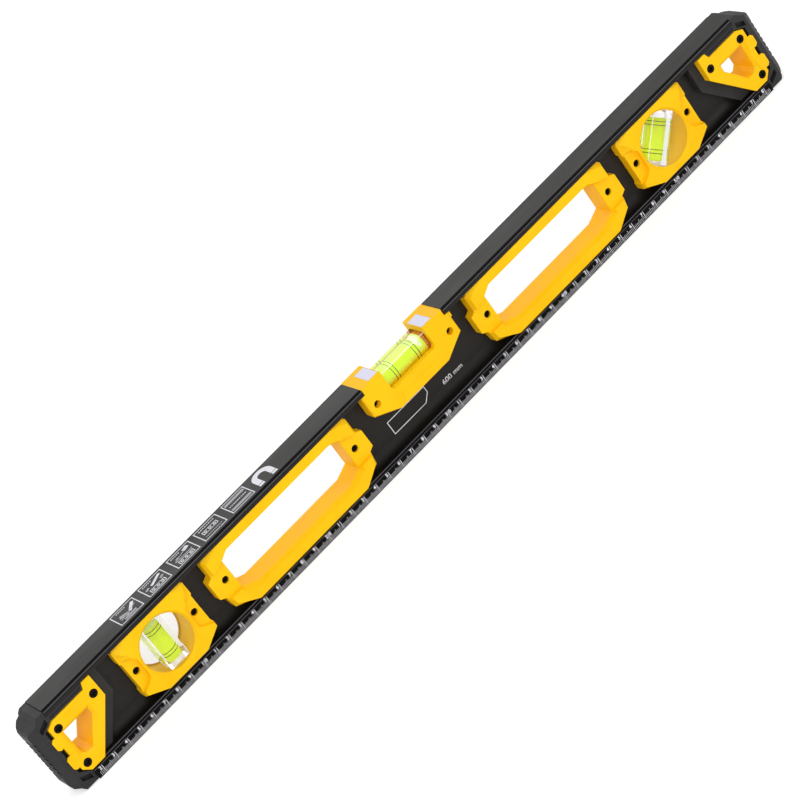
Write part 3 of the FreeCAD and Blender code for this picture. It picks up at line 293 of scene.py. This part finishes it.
def printedInk(name):
    # one colour, its roughness mottled by a noise
    f = inkLook
    material, place = newMaterial(name)
    spread = addNode(material, "ShaderNodeMapping", {"Scale": perSize(f["mottle"])},
                     {"Vector": (place, "Object")})
    mottle = addNode(material, "ShaderNodeTexNoise", {"Scale": 1.0, "Detail": 2.0}, {"Vector": (spread, 0)})
    rough = addNode(material, "ShaderNodeValToRGB", {}, {"Fac": (mottle, "Fac")},
                    [(0.3, greyOf(f["roughLow"])), (0.7, greyOf(f["roughHigh"]))])
    shader = addNode(material, "ShaderNodeBsdfPrincipled",
                     {"Base Color": fromHex(inks[name]), "Specular IOR Level": f["specular"]},
                     {"Roughness": (rough, 0)})
    addNode(material, "ShaderNodeOutputMaterial", {}, {"Surface": (shader, 0)})
    return material


# steel: full metal with fine turning marks, blackened on the screws and nickel-plated on the magnets
steels = {
    "blackenedSteel": {"dark": "#161413", "light": "#262322", "roughLow": 0.34, "roughHigh": 0.46,
                       "marks": 0.5, "depth": 0.01},
    "nickelPlate": {"dark": "#B4B2AC", "light": "#C8C6C0", "roughLow": 0.20, "roughHigh": 0.32,
                    "marks": 0.8, "depth": 0.01},
}


def platedSteel(name):
    # full metal: colour, roughness and bump all follow the marks
    f = steels[name]
    material, place = newMaterial(name)
    spread = addNode(material, "ShaderNodeMapping", {"Scale": perSize(f["marks"])},
                     {"Vector": (place, "Object")})
    marks = addNode(material, "ShaderNodeTexNoise", {"Scale": 1.0, "Detail": 3.0}, {"Vector": (spread, 0)})
    colour = addNode(material, "ShaderNodeValToRGB", {}, {"Fac": (marks, "Fac")},
                     [(0.3, fromHex(f["dark"])), (0.7, fromHex(f["light"]))])
    rough = addNode(material, "ShaderNodeValToRGB", {}, {"Fac": (marks, "Fac")},
                    [(0.3, greyOf(f["roughLow"])), (0.7, greyOf(f["roughHigh"]))])
    bump = addNode(material, "ShaderNodeBump", {"Distance": f["depth"] * mm, "Strength": 0.2},
                   {"Height": (marks, "Fac")})
    shader = addNode(material, "ShaderNodeBsdfPrincipled", {"Metallic": 1.0},
                     {"Base Color": (colour, 0), "Roughness": (rough, 0), "Normal": (bump, 0)})
    addNode(material, "ShaderNodeOutputMaterial", {}, {"Surface": (shader, 0)})
    return material


materials = {
    "anodised_beam": anodisedAluminium(),
    "soft_rubber": mouldedPlastic("mouldedRubber", rubber),
    "yellow_plastic": mouldedPlastic("yellowAbs", yellow),
    "clear_lens": clearSheet("lensSheet"),
    "clear_acrylic": castAcrylic(),
    "vial_liquid": dyedSpirit("dyedSpirit", spirit["upright"]),
    "vial_plug": clearSheet("vialPlug"),
    "white_tile": printedInk("tileInk"),
    "black_screw": platedSteel("blackenedSteel"),
    "magnet": platedSteel("nickelPlate"),
}
extras = {name: clearSheet(name) for name in ("edgeHighlight", "bubbleFilm", "bubbleWall", "endSeal")}
extras.update({name: printedInk(name) for name in ("whiteInk", "greyInk", "ruleInk", "blackInk")})
extras["levelSpirit"] = dyedSpirit("levelSpirit", spirit["level"])

slots = {entry["node"]: entry["material_slot"] for entry in frame["record"]["subparts"]}
for name, node in frame["nodes"].items():
    node.data.materials.clear()
    node.data.materials.append(materials[slots[name]])
print("materials done")


# meshes

def addPiece(name, mesh):
    # object at the origin that rides on the body
    piece = bpy.data.objects.new(name, mesh)
    scene.collection.objects.link(piece)
    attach(piece, "root")
    return piece


def makePiece(name, points, faces, finishes, slotName, smooth=False, merge=False):
    # mesh from arrays of points in millimetres and of faces; merging its doubles closes poles and seams
    mesh = bpy.data.meshes.new(name)
    mesh.from_pydata((np.asarray(points, float) * mm).tolist(), [], [list(map(int, f)) for f in faces])
    if merge:
        shape = bmesh.new()
        shape.from_mesh(mesh)
        bmesh.ops.remove_doubles(shape, verts=shape.verts, dist=0.002 * mm)
        shape.to_mesh(mesh)
        shape.free()
    mesh.validate()
    mesh.polygons.foreach_set("use_smooth", np.full(len(mesh.polygons), smooth))
    for finish in finishes:
        mesh.materials.append(finish)
    return addPiece(name, mesh)


cornerSigns = np.array([(x, y, z) for x in (-1, 1) for y in (-1, 1) for z in (-1, 1)], float)
cornerFaces = np.array([(0, 1, 3, 2), (4, 6, 7, 5), (0, 4, 5, 1), (2, 3, 7, 6), (0, 2, 6, 4), (1, 5, 7, 3)])


def barsOf(centres, sizes):
    # many thin bars at once: eight corner signs times half the size, added to each centre
    centres, sizes = np.asarray(centres, float), np.asarray(sizes, float)
    points = centres[:, None, :] + cornerSigns[None] * sizes[:, None, :] / 2
    faces = cornerFaces[None] + 8 * np.arange(len(centres))[:, None, None]
    return points.reshape(-1, 3), faces.reshape(-1, 4)


def placeFlat(flat, axes, lift):
    # flat points (a, b) to space: origin, plus a along the first axis, b along the second, lift along the last
    origin, first, second, out = [np.asarray(v, float) for v in axes]
    return origin + flat[:, :1] * first + flat[:, 1:2] * second + lift * out


def ribbonOf(path, width, height, axes, closed=True):
    # line of constant width along a flat path: each point steps out by half the width along the mitred normal,
    # both ways, and the same points raised by the height close it
    path = np.asarray(path, float)
    ahead = np.roll(path, -1, 0) - path
    behind = path - np.roll(path, 1, 0)
    if not closed:
        ahead[-1], behind[0] = behind[-1], ahead[0]
    ahead /= np.linalg.norm(ahead, axis=1)[:, None]
    behind /= np.linalg.norm(behind, axis=1)[:, None]
    normal = np.stack([-(ahead + behind)[:, 1], (ahead + behind)[:, 0]], 1)
    normal /= np.linalg.norm(normal, axis=1)[:, None]
    square = np.stack([-ahead[:, 1], ahead[:, 0]], 1)
    mitre = (width / 2) / np.clip((normal * square).sum(1), 0.3, 1)
    flat = np.concatenate([path + normal * mitre[:, None], path - normal * mitre[:, None]])
    points = np.concatenate([placeFlat(flat, axes, 0), placeFlat(flat, axes, height)])
    count = len(path)
    i = np.arange(count if closed else count - 1)
    j = (i + 1) % count
    top = 2 * count
    faces = [np.stack([top + i, top + count + i, top + count + j, top + j], 1),
             np.stack([i, j, count + j, count + i], 1),
             np.stack([i, top + i, top + j, j], 1),
             np.stack([count + i, count + j, top + count + j, top + count + i], 1)]
    if not closed:
        last = count - 1
        faces.append(np.array([[0, count, top + count, top]]))
        faces.append(np.array([[last, top + last, top + count + last, count + last]]))
    return points, np.concatenate(faces)


def joinShapes(shapes):
    # several (points, faces) pairs as one, each later one's faces counted on from the points before it
    starts = np.cumsum([0] + [len(points) for points, faces in shapes])
    faces = [[start + int(i) for i in face] for start, (points, rows) in zip(starts, shapes) for face in rows]
    return np.concatenate([points for points, rows in shapes]), faces


def arcPath(a, b, radius, start=0.0, end=360.0, steps=24):
    # arc about (a, b): the radius times cosine and sine of even angles, a full circle without its last one
    t = np.radians(np.linspace(start, end, steps, endpoint=end - start < 359.9))
    return np.stack([a + radius * np.cos(t), b + radius * np.sin(t)], 1)


def turnedGrid(radius, height, steps, matrix):
    # surface of revolution: the radius of each profile point times cosine and sine of the turn angle, and its
    # height
    radius, height = np.asarray(radius, float), np.asarray(height, float)
    t = np.linspace(0, 2 * np.pi, steps, endpoint=False)
    points = np.stack([radius[:, None] * np.cos(t), radius[:, None] * np.sin(t),
                       np.broadcast_to(height[:, None], (len(height), steps))], -1).reshape(-1, 3)
    row = np.arange(len(radius) - 1)[:, None] * steps
    i = np.arange(steps)[None]
    j = (i + 1) % steps
    faces = np.stack([row + i, row + j, row + steps + j, row + steps + i], -1).reshape(-1, 4)
    matrix = np.asarray(matrix)
    return points @ matrix[:3, :3].T + matrix[:3, 3], faces


# ruled edge: a tick at every millimetre, longer at each fifth and tenth, and a figure left of each tenth
rule = {"start": 17, "end": 583, "zero": -300, "front": -12.0, "low": 0.35,
        "mm": 3.0, "half": 4.1, "whole": 5.6, "thin": 0.18, "thick": 0.30,
        "figureHeight": 2.2, "figureLow": 3.55, "figureGap": 0.75, "tenGap": 0.5, "bold": 0.06,
        "firstTenth": 2, "lastTenth": 58}
capShare = 0.7    # a capital's height over the size of the letters
upright = Matrix.Rotation(math.radians(90), 4, "X")


def ruleTicks():
    # a tick's top comes from the remainder of its number by 10 and by 5, its width by 10
    marks = np.arange(rule["start"], rule["end"] + 1)
    whole, half = marks % 10 == 0, marks % 5 == 0
    tops = np.where(whole, rule["whole"], np.where(half, rule["half"], rule["mm"]))
    widths = np.where(whole, rule["thick"], rule["thin"])
    heights = tops - rule["low"]
    depth = np.full(len(marks), inkLook["film"])
    centres = np.stack([marks + rule["zero"], rule["front"] - depth / 2, rule["low"] + heights / 2], 1)
    return barsOf(centres, np.stack([widths, depth, heights], 1))


def letterShape(text, size, centre, turn, aim="CENTER", bold=0.0):
    # plain letters as a mesh: extruded by the film, turned and then moved to the centre
    curve = bpy.data.curves.new("letters", "FONT")
    curve.body = text
    curve.size = size * mm
    curve.align_x = aim
    curve.extrude = inkLook["film"] * mm / 2
    curve.resolution_u = 3
    curve.offset = bold * mm
    holder = bpy.data.objects.new("letters", curve)
    scene.collection.objects.link(holder)
    mesh = bpy.data.meshes.new_from_object(holder.evaluated_get(bpy.context.evaluated_depsgraph_get()))
    bpy.data.objects.remove(holder)
    mesh.transform(Matrix.Translation(Vector(centre) * mm) @ turn)
    points = np.empty(len(mesh.vertices) * 3)
    mesh.vertices.foreach_get("co", points)
    return points.reshape(-1, 3) / mm, [list(face.vertices) for face in mesh.polygons]


def ruleFigures():
    # whole tens carry both digits, one on each side of the tick; the others only their last digit, left of it
    shapes = []
    for tenth in range(rule["firstTenth"], rule["lastTenth"] + 1):
        x = tenth * 10 + rule["zero"]
        spots = [(str(tenth % 10), x - rule["figureGap"], "RIGHT")]
        if tenth % 10 == 0:
            spots = [(str(tenth // 10), x - rule["tenGap"], "RIGHT"), ("0", x + rule["tenGap"], "LEFT")]
        for digit, at, aim in spots:
            centre = (at, rule["front"] - inkLook["film"] / 2, rule["figureLow"])
            size = rule["figureHeight"] / capShare
            shapes.append(letterShape(digit, size, centre, upright, aim, rule["bold"]))
    return joinShapes(shapes)


makePiece("ruleTicks", *ruleTicks(), [extras["ruleInk"]], "anodised_beam")
makePiece("ruleFigures", *ruleFigures(), [extras["ruleInk"]], "anodised_beam")
print("rule done")


# printed squares on the top land: small plain pictures of how the level is used, in millimetres from the
# square's left front corner. Each stroke is (points, width), and a closed outline has True behind them
squares = {"lefts": (-221.1, -199.1, -176.8, -155.4, -133.3), "side": 16.8, "front": -7.5, "back": 7.9,
           "line": 0.6}
topAxes = ((0, 0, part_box("beam")[1][2] / mm), (1, 0, 0), (0, 1, 0), (0, 0, 1))


def dashes(a, b, count, length=0.95, step=1.4, width=0.8):
    # row of short strokes that stands for words: the start moves on by the step each time
    return [([(a + k * step, b), (a + k * step + length, b)], width) for k in range(count)]


def levelIcon(a, b, w=5.4, h=1.7):
    # side view of a level: an outline that reaches w and h either side of its centre, with three round windows
    outline = [([(a - w, b - h), (a + w, b - h), (a + w, b + h), (a - w, b + h)], 0.5, True)]
    return outline + [(arcPath(a + k, b, 0.8, steps=12), 0.5, True) for k in (-3.5, 0, 3.5)]


squareMarks = [
    {"white": [([(9.6, 5.4), (14.9, 12.2)], 2.3), ([(2.2, 4.0), (15.0, 8.6)], 0.3)]
              + [([(4.0, k), (12.8, k)], 0.35) for k in (1.5, 2.5, 3.4)] + dashes(3.4, 13.3, 5),
     "grey": [([(2.8, 7.6), (8.8, 5.0)], 3.4)]},
    {"white": dashes(1.9, 13.2, 5) + [([(6.2, 8.2), (14.6, 12.9)], 2.0)] + levelIcon(8.4, 3.4),
     "grey": [([(1.6, 7.4), (4.2, 8.8)], 1.8), ([(12.6, 7.4), (15.2, 8.8)], 1.8)]},
    {"white": dashes(1.9, 13.2, 5) + levelIcon(8.4, 3.4)
              + [([(10.6, 11.0), (14.4, 12.6)], 3.0), ([(2.0, 7.4), (12.8, 11.6)], 0.35),
                 ([(2.0, 6.8), (14.8, 6.8)], 0.35)],
     "grey": [([(3.4, 9.4), (6.4, 9.4)], 1.0)]},
    {"white": dashes(2.4, 12.9, 8, 1.05, 1.55) + levelIcon(8.4, 7.9) + dashes(2.4, 2.9, 12, 0.55, 1.05, 0.6),
     "grey": []},
    {"white": dashes(1.9, 7.7, 9, 1.05, 1.5),
     "grey": [([(0.9, 12.4), (15.9, 12.4)], 2.6), ([(0.9, 3.0), (15.9, 3.0)], 2.6)]},
]


def squareShapes(ink):
    # the strokes of one ink, each moved by its square's left front corner; the white ink also has the outlines
    shapes = []
    for left, marks in zip(squares["lefts"], squareMarks):
        right, front, back = left + squares["side"], squares["front"], squares["back"]
        if ink == "white":
            edge = [(left, front), (right, front), (right, back), (left, back)]
            shapes.append(ribbonOf(edge, squares["line"], inkLook["film"], topAxes))
        for path, width, *closed in marks[ink]:
            path = np.asarray(path) + (left, front)
            shapes.append(ribbonOf(path, width, inkLook["film"], topAxes, bool(closed)))
    return joinShapes(shapes)


makePiece("squaresWhite", *squareShapes("white"), [extras["whiteInk"]], "anodised_beam")
makePiece("squaresGrey", *squareShapes("grey"), [extras["greyInk"]], "anodised_beam")

# horseshoe that marks the magnets below: half a circle, two straight legs, and tips set off by a gap
magnetSign = {"centre": -105.1, "radius": 5.05, "turn": 0.65, "legEnd": -5.2, "tip": (-5.75, -8.0), "line": 3.85}


def horseshoe():
    # half circle of the radius at the turn, joined to legs one radius either side of the centre
    s, film = magnetSign, inkLook["film"]
    arc = arcPath(s["centre"], s["turn"], s["radius"], 0, 180, 25)
    sides = [s["centre"] + side * s["radius"] for side in (1, -1)]
    bend = np.concatenate([[(sides[0], s["legEnd"])], arc, [(sides[1], s["legEnd"])]])
    tips = [[(x, s["tip"][0]), (x, s["tip"][1])] for x in sides]
    return joinShapes([ribbonOf(path, s["line"], film, topAxes, False) for path in [bend] + tips])


makePiece("magnetSign", *horseshoe(), [extras["whiteInk"]], "anodised_beam")

# printing on the web: a panel outline with one slanted corner, and the length
panel = {"face": -1.5, "corners": [(-29.3, 13.6), (-3.6, 13.4), (1.0, 17.9), (1.0, 22.2), (-29.3, 22.2)],
         "line": 0.5, "note": "600 mm", "noteSize": 4.9, "noteAt": (19.7, -1.51, 12.95)}
webAxes = ((0, panel["face"], 0), (1, 0, 0), (0, 0, 1), (0, -1, 0))
makePiece("webPanel", *ribbonOf(panel["corners"], panel["line"], inkLook["film"], webAxes),
          [extras["whiteInk"]], "anodised_beam")
makePiece("lengthNote", *letterShape(panel["note"], panel["noteSize"], panel["noteAt"], upright),
          [extras["whiteInk"]], "anodised_beam")
print("printed marks done")


# vials: the axis runs from the plug to the bubble, and low and high are the ends of the tube from the block's
# middle. In the two end ones the air fills the end of the tube. In the level one it is a flattened bubble near
# the end: out to its reach, and down to its depth below the axis, the tube's wall over it shows clear
vials = {
    "plumb": {"lean": 0, "size": (14, 13, 33.6), "tube": 5.1, "low": -13.75, "high": 14.5, "rings": (7.2, 9.4),
              "air": 10.9},
    "slant": {"lean": 45, "size": (14, 13, 33.6), "tube": 5.1, "low": -13.75, "high": 14.5, "rings": (7.2, 9.4),
              "air": 10.9},
    "centre": {"lean": 90, "size": (14, 15, 50), "tube": 5.9, "low": -21.95, "high": 15.9, "rings": (7.6, 9.8),
               "bubble": {"at": (-1.7, 0, 12.6), "size": (4.1, 4.6, 2.7), "gridFrom": 8.6, "gridStep": 0.2,
                          "reach": 1.28, "depth": 1.6},
               "seal": (16.3, 17.9), "sealInset": 0.3},
}
vialLook = {"edge": 0.5, "soft": 0.8, "ringWidth": 0.4, "ringFilm": 0.06, "ringGap": 0.02, "dome": 1.0,
            "skin": 0.04, "around": 64, "aroundFine": 120, "slack": 0.2, "shell": 1.02,
            "endPoints": 7, "domePoints": 9}


def chamferedBlock(size, edge, matrix):
    # each corner stands three times, one edge back along two of the axes; the hull of these points is the block
    points = (cornerSigns[:, None, :] * (np.asarray(size) / 2 - edge * (1 - np.eye(3))[None])).reshape(-1, 3)
    shape = bmesh.new()
    for point in points:
        shape.verts.new(point)
    bmesh.ops.convex_hull(shape, input=shape.verts)
    bmesh.ops.dissolve_limit(shape, angle_limit=math.radians(1), verts=shape.verts, edges=shape.edges)
    bmesh.ops.recalc_face_normals(shape, faces=shape.faces)
    shape.verts.index_update()
    narrow = [max(abs(c) for c in face.normal) < 0.9 for face in shape.faces]    # chamfers face no axis
    faces = [[vert.index for vert in face.verts] for face in shape.faces]
    points = np.array([vert.co for vert in shape.verts])
    shape.free()
    matrix = np.asarray(matrix)
    return points @ matrix[:3, :3].T + matrix[:3, 3], faces, narrow


def roundEnd(tube, soft):
    # quarter circle from the axis to the wall, for the tube's rounded end: sine out, one less cosine along
    c = np.radians(np.linspace(0, 90, vialLook["endPoints"]))
    radius = np.concatenate([[0], tube - soft + soft * np.sin(c)])
    return radius, np.concatenate([[0], soft - soft * np.cos(c)])


def paintFaces(piece, index, mask):
    # the masked faces take the piece's material of that index
    slot = np.zeros(len(piece.data.polygons), np.int32)
    piece.data.polygons.foreach_get("material_index", slot)
    slot[mask] = index
    piece.data.polygons.foreach_set("material_index", slot)


def domedLiquid(name, v, matrix):
    # the liquid ends in a hollow dome, height as the fourth power of the radius, on which the air stands
    look, tube = vialLook, v["tube"]
    endR, endZ = roundEnd(tube, look["soft"])
    dome = np.linspace(0, 1, look["domePoints"])
    domeR, domeZ = tube * dome, v["air"] + look["dome"] * (dome ** 4 - 0.5)
    radius = np.concatenate([endR, domeR[::-1]])
    height = np.concatenate([v["low"] + endZ, domeZ[::-1]])
    liquid = makePiece(f"{name}VialLiquid", *turnedGrid(radius, height, look["around"], matrix),
                       [materials["vial_liquid"]], "vial_liquid", True, True)
    radius = np.concatenate([domeR, endR[::-1]])
    height = np.concatenate([domeZ + look["skin"], v["high"] - endZ[::-1]])
    makePiece(f"{name}VialAir", *turnedGrid(radius, height, look["around"], matrix),
              [extras["bubbleFilm"]], "vial_liquid", True, True)
    return liquid


def bubbledLiquid(name, v, matrix):
    # a rounded cylinder whose rows are fine over the bubble, and inside it the bubble: a unit sphere times its
    # size, moved to its place and turned inside out. A face's distance from the bubble, over its size, paints
    # it: the tube's wall over it clear, and the bubble's own faces with a painted highlight
    look, tube, b, m = vialLook, v["tube"], v["bubble"], np.asarray(matrix)
    endR, endZ = roundEnd(tube, look["soft"])
    coarse = np.linspace(v["low"] + look["soft"] + 0.1, b["gridFrom"] - b["gridStep"], 12)
    rows = np.concatenate([coarse, np.arange(b["gridFrom"], v["high"] - look["soft"], b["gridStep"])])
    radius = np.concatenate([endR, np.full(len(rows), tube), endR[::-1]])
    height = np.concatenate([v["low"] + endZ, rows, v["high"] - endZ[::-1]])
    outer = turnedGrid(radius, height, look["aroundFine"], matrix)
    turn = np.radians(np.linspace(-90, 90, 25))
    inner, innerFaces = turnedGrid(np.cos(turn), np.sin(turn), 60, Matrix.Identity(4))
    inner = (inner * b["size"] + b["at"]) @ m[:3, :3].T + m[:3, 3]
    liquid = makePiece(f"{name}VialLiquid", *joinShapes([outer, (inner, innerFaces[:, ::-1])]),
                       [extras["levelSpirit"], extras["bubbleFilm"], extras["bubbleWall"]],
                       "vial_liquid", True, True)
    centre = np.empty(len(liquid.data.polygons) * 3)
    liquid.data.polygons.foreach_get("center", centre)
    local = (centre.reshape(-1, 3) / mm - m[:3, 3]) @ m[:3, :3]
    far = np.linalg.norm((local - b["at"]) / b["size"], axis=1)
    wall = np.hypot(local[:, 0], local[:, 1]) > tube - look["slack"]
    paintFaces(liquid, 1, wall & (far < b["reach"]) & (local[:, 0] < b["depth"]))
    # the bubble's faces take the bubble wall's painted highlight
    paintFaces(liquid, 2, (far < look["shell"]) & ~wall)    # the bubble's own faces are at 1
    sealR = tube - v["sealInset"]
    low, high = v["seal"]
    makePiece(f"{name}VialSeal", *turnedGrid([0, sealR, sealR, 0], [low, low, high, high], 48, matrix),
              [extras["endSeal"]], "vial_plug", False, True)
    return liquid


def buildVial(name, v):
    # block about the middle of its CAD box, leaning as the axis does; liquid, and rings printed round the tube
    look = vialLook
    middle = np.mean(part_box(f"vial_{name}_block"), 0) / mm
    matrix = Matrix.Translation(middle) @ Matrix.Rotation(math.radians(v["lean"]), 4, "Y")
    points, faces, narrow = chamferedBlock(v["size"], look["edge"], matrix)
    block = makePiece(f"{name}VialBlock", points, faces, [materials["clear_acrylic"], extras["edgeHighlight"]],
                      "clear_acrylic")
    # the chamfer faces take the painted edge highlight: white, half clear and glowing a little
    paintFaces(block, 1, np.array(narrow))
    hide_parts(f"vial_{name}_block")
    liquid = domedLiquid(name, v, matrix) if "air" in v else bubbledLiquid(name, v, matrix)
    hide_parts(f"vial_{name}_liquid")
    ringR = np.array([0, 1, 1, 0, 0]) * look["ringFilm"] + v["tube"] + look["ringGap"]
    ringZ = np.array([-1, -1, 1, 1, -1]) * look["ringWidth"] / 2
    bands = [turnedGrid(ringR, ringZ + side * at, look["around"], matrix)
             for side in (-1, 1) for at in v["rings"]]
    makePiece(f"{name}VialRings", *joinShapes(bands), [extras["blackInk"]], "vial_liquid", True, True)


for name, v in vials.items():
    buildVial(name, v)
print("vials done")


# floor, light and camera

stage = {"floor": "#E8E8E8", "lift": 0.45, "size": 6.0, "world": 0.62, "gap": 0.0002}    # lengths in metres


def strengthFor(owner, others, eye):
    # the strength is eye for rays of the camera, of mirrors and through glass, and others for the light that
    # falls on things: the largest of the three flags picks it
    rays = addNode(owner, "ShaderNodeLightPath")
    clear = addNode(owner, "ShaderNodeMath", {}, {0: (rays, "Is Camera Ray"), 1: (rays, "Is Glossy Ray")},
                    operation="MAXIMUM")
    seen = addNode(owner, "ShaderNodeMath", {}, {0: (clear, 0), 1: (rays, "Is Transmission Ray")},
                   operation="MAXIMUM")
    return addNode(owner, "ShaderNodeMapRange", {"To Min": others, "To Max": eye}, {"Value": (seen, 0)})


def paleBoard():
    # white board: its own light tops up the daylight to white, so only the shadow shows on it
    material = newMaterial("paleBoard")[0]
    lift = strengthFor(material, 0.0, stage["lift"])
    shader = addNode(material, "ShaderNodeBsdfPrincipled",
                     {"Base Color": fromHex(stage["floor"]), "Roughness": 0.9, "Specular IOR Level": 0.0,
                      "Emission Color": (1, 1, 1, 1)},
                     {"Emission Strength": (lift, 0)})
    addNode(material, "ShaderNodeOutputMaterial", {}, {"Surface": (shader, 0)})
    return material


half = stage["size"] / 2
floorMesh = bpy.data.meshes.new("floor")
floorCorners = [(-half, -half, 0), (half, -half, 0), (half, half, 0), (-half, half, 0)]
floorMesh.from_pydata(floorCorners, [], [(0, 1, 2, 3)])
floorMesh.materials.append(paleBoard())
floor = bpy.data.objects.new("floor", floorMesh)
scene.collection.objects.link(floor)
floor.location.z = -stage["gap"]

world = bpy.data.worlds.new("studio")
scene.world = world
world.use_nodes = True
background = world.node_tree.nodes["Background"]
world.node_tree.links.new(strengthFor(world, stage["world"], 1.0).outputs[0], background.inputs["Strength"])
background.inputs["Color"].default_value = (1, 1, 1, 1)

lamps = {
    "keyLamp": {"at": (-0.9, -1.55, 1.05), "size": 1.2, "power": 17},
    "fillLamp": {"at": (1.3, -1.2, 0.8), "size": 1.4, "power": 9},
    "rimLamp": {"at": (0.2, 1.4, 1.3), "size": 1.2, "power": 6},
}
for name, lamp in lamps.items():
    light = bpy.data.lights.new(name, "AREA")
    light.size = lamp["size"]
    light.energy = lamp["power"]
    holder = bpy.data.objects.new(name, light)
    holder.location = lamp["at"]
    holder.rotation_euler = (-Vector(lamp["at"])).to_track_quat("-Z", "Y").to_euler()
    scene.collection.objects.link(holder)

camera = {"at": (-0.515653, -1.517346, 0.848296), "right": (0.673094, -0.514991, -0.530781),
          "up": (0.681779, 0.153991, 0.715168), "lens": 142.643, "shift": (-0.01688, -0.02812)}
right, up = Vector(camera["right"]), Vector(camera["up"])
turn = Matrix((right, up, right.cross(up))).transposed().to_4x4()
view = bpy.data.cameras.new("camera")
view.lens = camera["lens"]
view.sensor_width = 36
view.sensor_fit = "HORIZONTAL"
view.shift_x, view.shift_y = camera["shift"]
view.clip_start, view.clip_end = 0.05, 30
eye = bpy.data.objects.new("camera", view)
eye.matrix_world = Matrix.Translation(camera["at"]) @ turn
scene.collection.objects.link(eye)
scene.camera = eye
scene.view_settings.view_transform = "Standard"
print("stage done")
